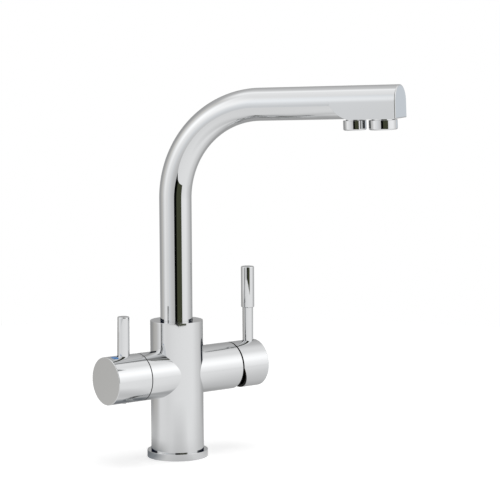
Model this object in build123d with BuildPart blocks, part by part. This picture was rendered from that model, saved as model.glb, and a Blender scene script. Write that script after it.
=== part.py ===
from build123d import *
import os
from math import cos, radians, sin, sqrt, tan

# Drinking water filter tap: a round column with a mixer arm to the right (+X), an arm
# with the filtered water valve to the left (-X) and a swivel spout with two outlets.
# Millimetres, +Z up, front at -Y, origin on the worktop under the column's axis.

# Fits and clearances
overrun = 1.0
close_fit = 0.05
free_gap = 0.3
film_gap = 0.1

# Base ring and the rubber ring let into its underside
ring_height = 6.1
ring_flange = 3.5
ring_rounding = 0.8
base_seal_height = 2.2
base_seal_width = 2.4
base_seal_inset = 2.5

# Column, with a spigot that drops through the base ring
column_radius = 23.0
column_rounding = 0.6
spigot_step = 4.0

# Hose chamber in the column's foot, with three hose threads and one stud thread
chamber_wall = 2.5
chamber_depth = 22.0
hose_offset_x = 8.0
hose_offset_y = 6.3
hose_thread_radius = 4.5
hose_thread_depth = 11.0
stud_thread_radius = 3.4
stud_thread_depth = 14.0

# Arms, at a height over the hose chamber's ceiling
arms_above_chamber = 52.0
arm_radius = 20.7
arm_wall = 1.8
arm_rounding = 0.3
mixer_arm_recess = 1.45
filter_arm_recess = 4.0

# Waterways drilled in the column
feed_radius = 2.5
mixed_way_radius = 2.8
mixed_way_offset = 12.0
filter_way_radius = 2.3
filter_riser = 4.3
drill_step = 0.3

# Mixer cartridge, measured outwards from its seat in the arm
cartridge_seat = 21.0
cartridge_bore_step = 1.3
cartridge_wall = 2.0
port_rise = 4.6
outlet_drop = 4.2
port_seal_width = 1.6
port_seal_height = 1.8
cartridge_base_thickness = 6.0
fixed_disc_thickness = 4.0
moving_disc_radius = 11.2
moving_disc_thickness = 3.4
mixing_pocket_radius = 9.2
mixing_pocket_depth = 1.8
mixing_pocket_rise = 1.6
carrier_plate_thickness = 3.0
carrier_block_size = 9.4
carrier_block_height = 7.6
turret_radius = 11.0
turret_flange_width = 3.0
turret_flange_thickness = 2.8
turret_lip = 7.0
case_shoulder_thickness = 7.5
case_neck_wall = 2.0
case_neck_setback = 3.0
nut_thickness = 7.0
nut_slot_width = 4.0
nut_slot_depth = 2.5
nut_slot_count = 6

# Cartridge spindle, which tilts about a cross pin and drives the moving disc by its ball
tilt_pin_radius = 1.5
ball_arm = 9.0
ball_sink = 1.1
ball_radius = 3.2
spindle_neck_radius = 2.4
spindle_size = 7.0
spindle_heel = 4.0
spindle_setback = 11.0
lever_tilt = 22.0

# Mixer handle, with setbacks measured from the cap's end face
handle_gap = 1.5
mixer_cap_length = 27.35
cap_wall = 2.0
cap_plate = 4.5
cap_rounding = 0.5
relief_angle = 23.0
hub_radius = 8.0
mixer_hub_length = 19.5
mixer_rod_setback = 7.6
mixer_rod_radius = 4.75
rod_pad_wall = 1.8
rod_thread_radius = 3.0
sleeve_radius = 5.86
sleeve_length = 36.7
lever_height = 87.0
sleeve_bore_depth = 30.0
sleeve_chamfer = 0.6
lever_rounding = 0.8
mixer_grub_setback = 15.4
grub_radius = 2.0
grub_length = 6.0
grub_key_radius = 1.15
grub_key_depth = 2.0
grub_pad_wall = 2.4

# Filtered water valve, a quarter-turn ceramic headpart, measured from the column's axis
valve_seat = 22.0
valve_thread_radius = 10.4
valve_barrel_length = 9.0
valve_thread_length = 5.0
valve_barrel_radius = 8.9
valve_barrel_wall = 1.3
valve_lip_start = 0.6
seat_seal_height = 2.2
seat_seal_width = 2.2
filter_disc_thickness = 2.8
filter_window_radius = 1.8
filter_window_offset = 4.2
driver_thickness = 3.0
valve_flange_thickness = 4.0
valve_hex_size = 24.0
valve_neck_radius = 7.6
valve_neck_length = 11.0
valve_port_radius = 1.7
valve_seal_height = 1.2
valve_seal_width = 1.8
counterbore_wall = 5.2
filter_spindle_radius = 4.0
filter_spindle_length = 14.0
filter_spindle_flat = 1.2

# Filtered water handle, with setbacks measured from the cap's end face
filter_handle_gap = 0.9
filter_cap_length = 33.9
filter_hub_gap = 2.5
filter_lever_setback = 18.4
filter_lever_radius = 5.1
filter_lever_foot_radius = 5.3
filter_lever_height = 54.2
filter_grub_setback = 17.8
mark_setback = 6.8
mark_lean = 12.0
mark_radius = 3.2
mark_depth = 1.2

# Spout pipe
pipe_radius = 14.0
pipe_wall = 1.4
pipe_seat_depth = 1.4
pipe_rise = 106.0
bend_radius = 82.8
arm_rise = 2.0
swing_angle = -61.07

# Ferrule in the pipe's foot, with grooves for its bushes, seals and lock screw
socket_depth = 25.0
ferrule_gap = 2.0
ferrule_radius = 13.7
ferrule_wall = 3.1
ferrule_spigot = 11.0
groove_depth = 1.5
bush_height = 2.8
bush_split = 1.5
spout_seal_thickness = 2.0
lock_groove_height = 3.0
groove_land = 1.4
lock_screw_radius = 2.5
lock_screw_length = 6.5
lock_tip_radius = 1.2
lock_tip_length = 2.0
lock_key_radius = 1.45
lock_key_depth = 2.5

# Spout head
head_end = 206.2
head_lead = 17.9
head_spigot = 8.0
head_rounding = 0.9
head_side_inset = 0.05
corner_reach = 16.5
corner_mid_shares = (0.36, 0.59)
mixed_duct_radius = 6.6
mixed_duct_rise = 4.6

# Filtered water tube inside the spout
tube_radius = 3.5
tube_wall = 1.0
tube_drop = 7.4
tube_socket_depth = 7.0
tube_seal_thickness = 1.9
tube_seal_pocket = 2.3

# Outlets under the spout head, each a threaded ring with a nozzle insert and a washer
mixed_outlet_radius = 12.0
mixed_outlet_margin = 3.9
filter_outlet_radius = 9.75
outlet_spacing = 3.35
outlet_gap = 1.0
outlet_drop_below = 9.25
outlet_rounding = 1.2
outlet_thread_step = 2.5
outlet_wall = 4.2
outlet_thread_length = 5.5
outlet_lip_width = 0.8
outlet_lip_height = 1.0
outlet_washer_height = 1.5
insert_height = 6.4
nozzle_radius = 0.55
nozzle_pitch = 1.9
nozzle_spacing = 1.9

# Sizes that follow from the values above
ring_radius = column_radius + ring_flange
spigot_radius = column_radius - spigot_step
chamber_radius = spigot_radius - chamber_wall
base_seal_outer = ring_radius - base_seal_inset
base_seal_inner = base_seal_outer - base_seal_width
arm_height = chamber_depth + arms_above_chamber

cartridge_thread_radius = arm_radius - arm_wall
cartridge_bore = cartridge_thread_radius - cartridge_bore_step
cartridge_radius = cartridge_bore - close_fit
cartridge_inside = cartridge_radius - cartridge_wall
fixed_disc_start = cartridge_seat + cartridge_base_thickness
moving_disc_start = fixed_disc_start + fixed_disc_thickness + film_gap
carrier_start = moving_disc_start + moving_disc_thickness
carrier_block_start = carrier_start + carrier_plate_thickness
carrier_block_end = carrier_block_start + carrier_block_height
turret_start = carrier_block_start + 2 * free_gap
turret_flange_end = turret_start + turret_flange_thickness
case_shoulder_start = turret_flange_end + free_gap
case_shoulder_end = case_shoulder_start + case_shoulder_thickness
case_neck_radius = turret_radius + close_fit + case_neck_wall
nut_end = case_shoulder_end + nut_thickness
mixer_arm_reach = nut_end + mixer_arm_recess
ball_reach = carrier_block_end - ball_sink
tilt_pin_reach = ball_reach + ball_arm
turret_end = tilt_pin_reach + turret_lip
case_neck_end = turret_end - case_neck_setback
ball_travel = ball_arm * radians(lever_tilt)
ball_setback = ball_arm * (1 - cos(radians(lever_tilt)))
turret_pocket_end = ball_reach + ball_setback + ball_radius + free_gap

cap_radius = arm_radius
cap_bore = cap_radius - cap_wall
mixer_cap_start = mixer_arm_reach + handle_gap
mixer_cap_end = mixer_cap_start + mixer_cap_length
mixer_hub_start = mixer_cap_end - mixer_hub_length
mixer_rod_reach = mixer_cap_end - mixer_rod_setback
mixer_grub_reach = mixer_cap_end - mixer_grub_setback
spindle_end = mixer_cap_end - spindle_setback
mixer_plate_start = mixer_cap_end - cap_plate
mixer_rod_seat = sqrt(cap_radius**2 - mixer_rod_radius**2)
rod_seat_floor = cap_bore - free_gap
sleeve_foot = lever_height - sleeve_length

valve_thread_start = valve_seat + valve_barrel_length
valve_flange_start = valve_thread_start + valve_thread_length
valve_neck_end = valve_flange_start + valve_neck_length
filter_spindle_end = valve_neck_end + filter_spindle_length
filter_arm_reach = valve_flange_start + filter_arm_recess
valve_barrel_bore = valve_barrel_radius - valve_barrel_wall
valve_disc_radius = valve_barrel_bore - film_gap
valve_bore = valve_thread_radius + film_gap
fixed_window_start = valve_seat + seat_seal_height
turning_disc_start = fixed_window_start + filter_disc_thickness + film_gap
driver_start = turning_disc_start + filter_disc_thickness
driver_end = driver_start + driver_thickness
valve_port_offset = (valve_barrel_radius + valve_bore) / 2
counterbore_radius = arm_radius - counterbore_wall
filter_cap_start = filter_arm_reach + filter_handle_gap
filter_cap_end = filter_cap_start + filter_cap_length
filter_hub_start = valve_neck_end + filter_hub_gap
filter_lever_reach = filter_cap_end - filter_lever_setback
filter_grub_reach = filter_cap_end - filter_grub_setback
mark_reach = filter_cap_end - mark_setback
filter_plate_start = filter_cap_end - cap_plate
filter_lever_seat = sqrt(cap_radius**2 - filter_lever_foot_radius**2)
mark_top = sqrt(cap_radius**2 - mark_radius**2)

filter_way_height = arm_height + valve_port_offset
tube_foot = filter_way_height + filter_riser
tube_seal_ring = tube_radius + tube_seal_thickness + 2 * film_gap
socket_floor = tube_foot + tube_socket_depth
column_height = socket_floor + socket_depth
pipe_foot = column_height - pipe_seat_depth
bend_start = column_height + pipe_rise
pipe_bore = pipe_radius - pipe_wall
socket_radius = pipe_radius + free_gap
ferrule_foot = socket_floor + ferrule_gap
ferrule_bore = ferrule_radius - ferrule_wall
groove_radius = ferrule_radius - groove_depth
bush_bottom = ferrule_foot + groove_land
spout_seal_heights = (
    bush_bottom + bush_height + groove_land + spout_seal_thickness / 2,
    bush_bottom + bush_height + 2 * groove_land + 3 * spout_seal_thickness / 2,
)
lock_height = spout_seal_heights[1] + spout_seal_thickness / 2 + groove_land + lock_groove_height / 2
bush_heights = (bush_bottom, lock_height + lock_groove_height / 2 + groove_land)

bend_turn = 90 - arm_rise
bend_end_x = bend_radius * (1 - sin(radians(arm_rise)))
bend_end_z = bend_start + bend_radius * cos(radians(arm_rise))
spout_root_height = bend_end_z - bend_end_x * tan(radians(arm_rise))
bend_end_reach = bend_end_x / cos(radians(arm_rise))
mixed_outlet_reach = head_end - mixed_outlet_margin - mixed_outlet_radius
filter_outlet_reach = mixed_outlet_reach - mixed_outlet_radius - outlet_spacing - filter_outlet_radius
head_start = filter_outlet_reach - head_lead

# Working planes: local Z runs along each axis, outwards
SEATED = (Align.CENTER, Align.CENTER, Align.MIN)
column = Plane.XY
mixer = Plane(origin=(0, 0, arm_height), x_dir=(0, 1, 0), z_dir=(1, 0, 0))
filtered = Plane(origin=(0, 0, arm_height), x_dir=(0, -1, 0), z_dir=(-1, 0, 0))
swing = Plane(
    origin=(0, 0, 0),
    x_dir=(cos(radians(swing_angle)), sin(radians(swing_angle)), 0),
    z_dir=(sin(radians(swing_angle)), -cos(radians(swing_angle)), 0),
)
spout_side = Plane(swing.location * Location((0, spout_root_height, 0), (0, 0, arm_rise)))
spout_axis = Plane(spout_side.location * Location((0, 0, 0), (0, 90, 0)))


def above(plane, reach):
    """Plane on an arm's axis at a reach, with local Z pointing straight up."""
    return Plane(origin=plane.origin + plane.z_dir * reach, x_dir=(1, 0, 0), z_dir=(0, 0, 1))


def outlet_axis(reach):
    """Plane on the spout head's underside, with local Z pointing down out of it."""
    return Plane(spout_side.location * Location((reach, -pipe_radius, 0), (90, 0, 0)))


def turn(axis, *steps, at=(0, 0), mode=Mode.ADD):
    """Round steps along an axis, each from its start to its end at its radius."""
    for start, end, radius in steps:
        with Locations(axis.location * Location((at[0], at[1], start))):
            Cylinder(radius, end - start, align=SEATED, mode=mode)


def bore(axis, *steps, at=(0, 0)):
    """Round holes along an axis, each from its start to its end at its radius."""
    turn(axis, *steps, at=at, mode=Mode.SUBTRACT)


def block(axis, start, end, width, height, at=(0, 0), mode=Mode.ADD):
    """Square-cornered bar along an axis, or the slot that such a bar would leave."""
    with Locations(axis.location * Location((at[0], at[1], start))):
        Box(width, height, end - start, align=SEATED, mode=mode)


def key_socket(axis, head, radius, depth):
    """Hexagonal key socket sunk from a screw's head face."""
    with BuildSketch(axis.offset(head)) as hexagon:
        RegularPolygon(radius, side_count=6)
    extrude(hexagon.sketch, amount=-depth, mode=Mode.SUBTRACT)


def spout_sweep(foot, drop, reach, outer, inner):
    """Tube that rises on the column's axis, bends and runs out along the spout."""
    shift = drop / cos(radians(arm_rise))
    with BuildLine(swing) as route:
        rise = Line((0, foot), (0, bend_start - shift))
        bend = JernArc(rise @ 1, rise % 1, bend_radius, -bend_turn)
        run = reach - bend_end_reach + drop * tan(radians(arm_rise))
        PolarLine(bend @ 1, run, direction=bend % 1)
    with BuildSketch(Plane.XY.offset(foot)) as section:
        Circle(outer)
        Circle(inner, mode=Mode.SUBTRACT)
    sweep(section.sketch, path=route.wires()[0])


def finish(piece, name):
    """Label a piece and write it out."""
    piece.part.label = name
    export_step(piece.part, f"parts/{name}.step")


os.makedirs("parts", exist_ok=True)

# Base ring: turned brass, chromed, rests on the worktop round the tap hole
with BuildPart() as base_ring:
    turn(column, (0, ring_height, ring_radius))
    fillet(base_ring.edges().filter_by(GeomType.CIRCLE).sort_by(Axis.Z)[-1], ring_rounding)
    bore(column, (-overrun, ring_height + overrun, spigot_radius + close_fit))
    with BuildSketch(column) as seal_groove:
        Circle(base_seal_outer + close_fit)
        Circle(base_seal_inner - close_fit, mode=Mode.SUBTRACT)
    extrude(seal_groove.sketch, amount=base_seal_height, mode=Mode.SUBTRACT)
finish(base_ring, "base_ring")

# Base seal: rubber ring pressed flush into the base ring's groove
with BuildPart() as base_seal:
    turn(column, (0, base_seal_height, base_seal_outer))
    bore(column, (-overrun, base_seal_height + overrun, base_seal_inner))
finish(base_seal, "base_seal")

# Body casting: brass column and both arms in one piece, bored for everything it holds
with BuildPart() as body_casting:
    turn(column, (ring_height, column_height, column_radius))
    fillet(body_casting.edges().filter_by(GeomType.CIRCLE).sort_by(Axis.Z)[-1], column_rounding)
    turn(column, (0, ring_height, spigot_radius))
    turn(mixer, (0, mixer_arm_reach, arm_radius))
    fillet(body_casting.edges().filter_by(GeomType.CIRCLE).sort_by(Axis.X)[-1], arm_rounding)
    turn(filtered, (0, filter_arm_reach, arm_radius))
    fillet(body_casting.edges().filter_by(GeomType.CIRCLE).sort_by(Axis.X)[0], arm_rounding)
    # Spout socket, with the seat of the filtered water tube in its floor
    bore(column, (socket_floor, column_height + overrun, socket_radius))
    bore(column, (socket_floor - tube_seal_pocket, socket_floor + overrun, tube_seal_ring))
    bore(column, (tube_foot, socket_floor, tube_radius + close_fit))
    riser_foot = filter_way_height - valve_port_radius - drill_step
    bore(column, (riser_foot, tube_foot + overrun, filter_way_radius))
    # Lock screw's thread, from the back
    back = Plane(origin=(0, 0, lock_height), x_dir=(1, 0, 0), z_dir=(0, 1, 0))
    bore(back, (socket_radius - overrun, column_radius + overrun, lock_screw_radius))
    # Mixer arm: nut thread, cartridge bore and the three ports in its seat
    bore(mixer, (case_shoulder_end, mixer_arm_reach + overrun, cartridge_thread_radius))
    bore(mixer, (cartridge_seat, case_shoulder_end + overrun, cartridge_bore))
    feed_start = hose_offset_x - feed_radius - drill_step
    for side in (-1, 1):
        port = (side * hose_offset_y, port_rise)
        bore(mixer, (feed_start, cartridge_seat + overrun, feed_radius + drill_step), at=port)
    mixed_start = mixed_way_offset - mixed_way_radius - drill_step
    mixed_run = (mixed_start, cartridge_seat + overrun, mixed_way_radius + drill_step)
    bore(mixer, mixed_run, at=(0, -outlet_drop))
    # Filter arm: flange counterbore, thread, seat port and outlet port
    bore(filtered, (valve_flange_start, filter_arm_reach + overrun, counterbore_radius))
    bore(filtered, (valve_seat, valve_flange_start + overrun, valve_bore))
    bore(filtered, (hose_offset_x, valve_seat + overrun, filter_way_radius))
    bore(filtered, (0, valve_seat + overrun, valve_port_radius), at=(0, valve_port_offset))
    # Waterways that climb from the hose chamber, and the cross drilling to the valve seat
    bore(column, (0, chamber_depth, chamber_radius))
    feed_top = arm_height + port_rise + drill_step
    for side in (-1, 1):
        hose = (hose_offset_x, side * hose_offset_y)
        bore(column, (chamber_depth, chamber_depth + hose_thread_depth, hose_thread_radius), at=hose)
        bore(column, (chamber_depth, feed_top, feed_radius), at=hose)
    hose = (-hose_offset_x, hose_offset_y)
    bore(column, (chamber_depth, chamber_depth + hose_thread_depth, hose_thread_radius), at=hose)
    bore(column, (chamber_depth, arm_height + drill_step, filter_way_radius), at=hose)
    cross = Plane(origin=(-hose_offset_x, 0, arm_height), x_dir=(1, 0, 0), z_dir=(0, 1, 0))
    cross_radius = filter_way_radius + drill_step
    bore(cross, (-cross_radius - drill_step, hose_offset_y + cross_radius, cross_radius))
    mixed_way = (mixed_way_offset, 0)
    mixed_foot = arm_height - outlet_drop - drill_step
    bore(column, (mixed_foot, socket_floor + overrun, mixed_way_radius), at=mixed_way)
    stud = (-hose_offset_x, -hose_offset_y)
    bore(column, (chamber_depth, chamber_depth + stud_thread_depth, stud_thread_radius), at=stud)
finish(body_casting, "body_casting")

# Spout lock screw: dog-point set screw from the back, its tip runs in the ferrule's groove
with BuildPart() as spout_lock_screw:
    lock_start = socket_radius + free_gap
    turn(back, (lock_start, lock_start + lock_screw_length, lock_screw_radius - close_fit))
    turn(back, (lock_start - lock_tip_length, lock_start, lock_tip_radius))
    key_socket(back, lock_start + lock_screw_length, lock_key_radius, lock_key_depth)
finish(spout_lock_screw, "spout_lock_screw")

# Cartridge base: plastic foot with the three ports, hollowed for their seals
ports = [(side * hose_offset_y, port_rise, feed_radius) for side in (-1, 1)]
ports.append((0, -outlet_drop, mixed_way_radius))
with BuildPart() as cartridge_base:
    turn(mixer, (cartridge_seat, fixed_disc_start, cartridge_radius))
    for y, z, radius in ports:
        bore(mixer, (cartridge_seat - overrun, fixed_disc_start + overrun, radius), at=(y, z))
        seal_step = (cartridge_seat, cartridge_seat + port_seal_height, radius + port_seal_width)
        bore(mixer, seal_step, at=(y, z))
finish(cartridge_base, "cartridge_base")

# Cartridge seals: three rubber rings round the ports, under the base
with BuildPart() as cartridge_seals:
    for y, z, radius in ports:
        outer = radius + port_seal_width - close_fit
        turn(mixer, (cartridge_seat, cartridge_seat + port_seal_height, outer), at=(y, z))
        bore(mixer, (cartridge_seat - overrun, fixed_disc_start, radius), at=(y, z))
finish(cartridge_seals, "cartridge_seals")

# Fixed disc: polished ceramic with the hot, cold and mixed ports
with BuildPart() as fixed_disc:
    fixed_disc_end = fixed_disc_start + fixed_disc_thickness
    turn(mixer, (fixed_disc_start, fixed_disc_end, cartridge_inside - close_fit))
    for y, z, radius in ports:
        bore(mixer, (fixed_disc_start - overrun, fixed_disc_end + overrun, radius), at=(y, z))
finish(fixed_disc, "fixed_disc")

# Cartridge case: plastic cup over the discs, with a neck that the turret turns in
with BuildPart() as cartridge_case:
    turn(mixer, (fixed_disc_start, case_shoulder_end, cartridge_radius))
    turn(mixer, (case_shoulder_end, case_neck_end, case_neck_radius))
    bore(mixer, (fixed_disc_start - overrun, case_shoulder_start, cartridge_inside))
    bore(mixer, (case_shoulder_start - overrun, case_neck_end + overrun, turret_radius + close_fit))
finish(cartridge_case, "cartridge_case")

# Cartridge nut: brass ring in the arm's thread, slotted for a pin spanner
with BuildPart() as cartridge_nut:
    turn(mixer, (case_shoulder_end, nut_end, cartridge_thread_radius - close_fit))
    bore(mixer, (case_shoulder_end - overrun, nut_end + overrun, case_neck_radius + close_fit))
    with BuildSketch(mixer.offset(nut_end)) as spanner_slots:
        with PolarLocations(cartridge_thread_radius, nut_slot_count):
            Rectangle(2 * nut_slot_depth, nut_slot_width)
    extrude(spanner_slots.sketch, amount=-nut_slot_depth, mode=Mode.SUBTRACT)
finish(cartridge_nut, "cartridge_nut")

# Turret: plastic, turns in the case's neck, with a pocket for the disc carrier
with BuildPart() as cartridge_turret:
    turn(mixer, (turret_start, turret_end, turret_radius))
    turn(mixer, (turret_start, turret_flange_end, turret_radius + turret_flange_width))
    pocket_low = carrier_block_size / 2 + free_gap
    pocket_high = carrier_block_size / 2 + ball_travel + free_gap
    pocket_rise = (pocket_high - pocket_low) / 2
    block(
        mixer, turret_start - overrun, turret_pocket_end,
        carrier_block_size + 2 * free_gap, pocket_high + pocket_low,
        at=(0, pocket_rise), mode=Mode.SUBTRACT,
    )
    # Slot that lets the spindle tilt: it drops at the mouth and its heel lifts
    half = spindle_size / 2
    slot_low = half + (turret_end - tilt_pin_reach + half) * sin(radians(lever_tilt)) + free_gap
    slot_high = half + spindle_heel * sin(radians(lever_tilt)) + free_gap
    block(
        mixer, turret_pocket_end - overrun, turret_end + overrun,
        spindle_size + 2 * free_gap, slot_low + slot_high,
        at=(0, (slot_high - slot_low) / 2), mode=Mode.SUBTRACT,
    )
    tilt_axis = Plane(origin=(tilt_pin_reach, 0, arm_height), x_dir=(1, 0, 0), z_dir=(0, 1, 0))
    bore(tilt_axis, (-turret_radius - overrun, turret_radius + overrun, tilt_pin_radius))
finish(cartridge_turret, "cartridge_turret")

# Tilt pin: steel pin across the turret, the spindle's fulcrum
with BuildPart() as tilt_pin:
    pin_half = turret_radius - free_gap
    turn(tilt_axis, (-pin_half, pin_half, tilt_pin_radius - close_fit))
finish(tilt_pin, "tilt_pin")

# Moving disc: ceramic, slides and turns on the fixed disc, with the mixing pocket in its face
with BuildPart() as moving_disc:
    turn(mixer, (moving_disc_start, carrier_start, moving_disc_radius))
    with BuildSketch(mixer.offset(moving_disc_start)) as mixing_pocket:
        Circle(mixing_pocket_radius)
        with Locations((0, mixing_pocket_rise)):
            pocket_span = 2 * mixing_pocket_radius
            side = (Align.CENTER, Align.MIN)
            Rectangle(pocket_span, pocket_span, align=side, mode=Mode.SUBTRACT)
    extrude(mixing_pocket.sketch, amount=mixing_pocket_depth, mode=Mode.SUBTRACT)
finish(moving_disc, "moving_disc")

# Disc carrier: plastic plate on the moving disc, with a block that the spindle's ball drives
with BuildPart() as disc_carrier:
    turn(mixer, (carrier_start, carrier_block_start, moving_disc_radius - free_gap))
    block(mixer, carrier_start, carrier_block_end, carrier_block_size, carrier_block_size)
    socket_bottom = ball_reach - ball_radius - 2 * free_gap
    bore(mixer, (socket_bottom, carrier_block_end + overrun, ball_radius + free_gap))
finish(disc_carrier, "disc_carrier")

# Mixer spindle: steel bar with a ball foot, held by the tilt pin
with BuildPart() as mixer_spindle:
    heel = tilt_pin_reach - spindle_heel
    block(mixer, heel, spindle_end, spindle_size, spindle_size)
    turn(mixer, (ball_reach, heel, spindle_neck_radius))
    with Locations(mixer.offset(ball_reach)):
        Sphere(ball_radius)
    bore(tilt_axis, (-spindle_size, spindle_size, tilt_pin_radius))
finish(mixer_spindle, "mixer_spindle")

# Mixer handle cap: chromed cup whose lower rim is cut back so that it can tilt
with BuildPart() as mixer_handle_cap:
    turn(mixer, (mixer_cap_start, mixer_cap_end, cap_radius))
    cap_edges = mixer_handle_cap.edges().filter_by(GeomType.CIRCLE).sort_by(Axis.X)
    fillet(cap_edges[-1], cap_rounding)
    bore(mixer, (mixer_cap_start - overrun, mixer_plate_start, cap_bore))
    turn(mixer, (mixer_hub_start, mixer_cap_end - cap_rounding, hub_radius))
    rod_axis = above(mixer, mixer_rod_reach)
    rod_pad_radius = mixer_rod_radius + rod_pad_wall
    turn(rod_axis, (0, rod_seat_floor, rod_pad_radius))
    grub_axis = Plane(origin=(mixer_grub_reach, 0, arm_height), x_dir=(1, 0, 0), z_dir=(0, 0, -1))
    turn(grub_axis, (0, rod_seat_floor, grub_radius + grub_pad_wall))
    # Square drive for the spindle, then the rod's seat and thread, then the grub screw's thread
    drive = spindle_size + 2 * close_fit
    block(mixer, mixer_hub_start - overrun, spindle_end + close_fit, drive, drive, mode=Mode.SUBTRACT)
    bore(rod_axis, (mixer_rod_seat, cap_radius + overrun, mixer_rod_radius + close_fit))
    bore(rod_axis, (hub_radius / 2, mixer_rod_seat + overrun, rod_thread_radius))
    bore(grub_axis, (spindle_size / 2, cap_radius + overrun, grub_radius))
    with BuildSketch(Plane.XZ) as rim_relief:
        with BuildLine():
            relief_low = arm_height - cap_radius - overrun
            relief_run = (cap_radius + overrun) * tan(radians(relief_angle))
            Polyline(
                (mixer_cap_start, arm_height),
                (mixer_cap_start + relief_run, relief_low),
                (mixer_cap_start - overrun, relief_low),
                (mixer_cap_start - overrun, arm_height),
                close=True,
            )
        make_face()
    extrude(rim_relief.sketch, amount=cap_radius + overrun, both=True, mode=Mode.SUBTRACT)
finish(mixer_handle_cap, "mixer_handle_cap")

# Mixer lever rod: chromed brass rod screwed into the cap's hub
with BuildPart() as mixer_lever_rod:
    rod_top = sleeve_foot + sleeve_bore_depth
    turn(rod_axis, (mixer_rod_seat, rod_top - close_fit, mixer_rod_radius))
    turn(rod_axis, (hub_radius / 2 + free_gap, mixer_rod_seat, rod_thread_radius - close_fit))
finish(mixer_lever_rod, "mixer_lever_rod")

# Mixer lever sleeve: chromed grip pushed over the rod's upper half
with BuildPart() as mixer_lever_sleeve:
    turn(rod_axis, (sleeve_foot, lever_height, sleeve_radius))
    sleeve_rims = mixer_lever_sleeve.edges().filter_by(GeomType.CIRCLE).sort_by(Axis.Z)
    fillet(sleeve_rims[-1], lever_rounding)
    chamfer(sleeve_rims[0], sleeve_chamfer)
    bore(rod_axis, (sleeve_foot - overrun, rod_top, mixer_rod_radius + close_fit))
finish(mixer_lever_sleeve, "mixer_lever_sleeve")

# Mixer grub screw: set screw in the cap's underside, tightened on the spindle
with BuildPart() as mixer_grub_screw:
    grub_tip = spindle_size / 2 + close_fit
    turn(grub_axis, (grub_tip, grub_tip + grub_length, grub_radius - close_fit))
    key_socket(grub_axis, grub_tip + grub_length, grub_key_radius, grub_key_depth)
finish(mixer_grub_screw, "mixer_grub_screw")

# Filter valve body: brass headpart screwed into the left arm, with a hexagon to turn it
with BuildPart() as filter_valve_body:
    flange_start = valve_flange_start + valve_seal_height
    turn(
        filtered,
        (valve_seat + valve_lip_start, valve_thread_start, valve_barrel_radius),
        (valve_thread_start, flange_start, valve_thread_radius),
    )
    with BuildSketch(filtered.offset(flange_start)) as hexagon:
        RegularPolygon(valve_hex_size / 2, side_count=6, major_radius=False)
    extrude(hexagon.sketch, amount=valve_flange_thickness)
    turn(filtered, (flange_start, valve_neck_end, valve_neck_radius))
    bore(filtered, (valve_seat, driver_end + film_gap, valve_barrel_bore))
    bore(filtered, (valve_seat, valve_neck_end + overrun, filter_spindle_radius + close_fit))
    side_port = Plane(
        origin=filtered.origin + filtered.z_dir * (turning_disc_start + filter_disc_thickness / 2),
        x_dir=(1, 0, 0), z_dir=(0, 0, 1),
    )
    port_reach = valve_barrel_radius + overrun
    bore(side_port, (-port_reach, port_reach, filter_window_radius / 2))
finish(filter_valve_body, "filter_valve_body")

# Seat seal: rubber ring between the valve's seat and its fixed disc
with BuildPart() as filter_seat_seal:
    turn(filtered, (valve_seat, fixed_window_start, valve_disc_radius))
    seal_bore = valve_disc_radius - seat_seal_width
    bore(filtered, (valve_seat - overrun, fixed_window_start + overrun, seal_bore))
finish(filter_seat_seal, "filter_seat_seal")

# Valve seal: rubber ring under the headpart's hexagon
with BuildPart() as filter_valve_seal:
    seal_end = valve_flange_start + valve_seal_height
    turn(filtered, (valve_flange_start, seal_end, valve_bore + valve_seal_width))
    bore(filtered, (valve_flange_start - overrun, seal_end + overrun, valve_bore))
finish(filter_valve_seal, "filter_valve_seal")

# Filter discs: a fixed and a turning ceramic disc, each with two windows, shut at rest
with BuildPart() as filter_fixed_disc:
    fixed_window_end = fixed_window_start + filter_disc_thickness
    turn(filtered, (fixed_window_start, fixed_window_end, valve_disc_radius))
    for side in (-1, 1):
        window = (fixed_window_start - overrun, fixed_window_end + overrun, filter_window_radius)
        bore(filtered, window, at=(0, side * filter_window_offset))
finish(filter_fixed_disc, "filter_fixed_disc")

with BuildPart() as filter_turning_disc:
    turn(filtered, (turning_disc_start, driver_start, valve_disc_radius))
    for side in (-1, 1):
        window = (turning_disc_start - overrun, driver_start + overrun, filter_window_radius)
        bore(filtered, window, at=(side * filter_window_offset, 0))
finish(filter_turning_disc, "filter_turning_disc")

# Filter spindle: brass, turns the disc by its foot and carries the handle on a flat
with BuildPart() as filter_spindle:
    turn(
        filtered,
        (driver_start, driver_end, valve_disc_radius),
        (driver_end, filter_spindle_end, filter_spindle_radius),
    )
    flat_drop = filter_spindle_radius - filter_spindle_flat / 2
    spindle_span = 2 * filter_spindle_radius
    block(
        filtered, filter_hub_start, filter_spindle_end + overrun, spindle_span, filter_spindle_flat,
        at=(0, -flat_drop), mode=Mode.SUBTRACT,
    )
finish(filter_spindle, "filter_spindle")

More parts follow.
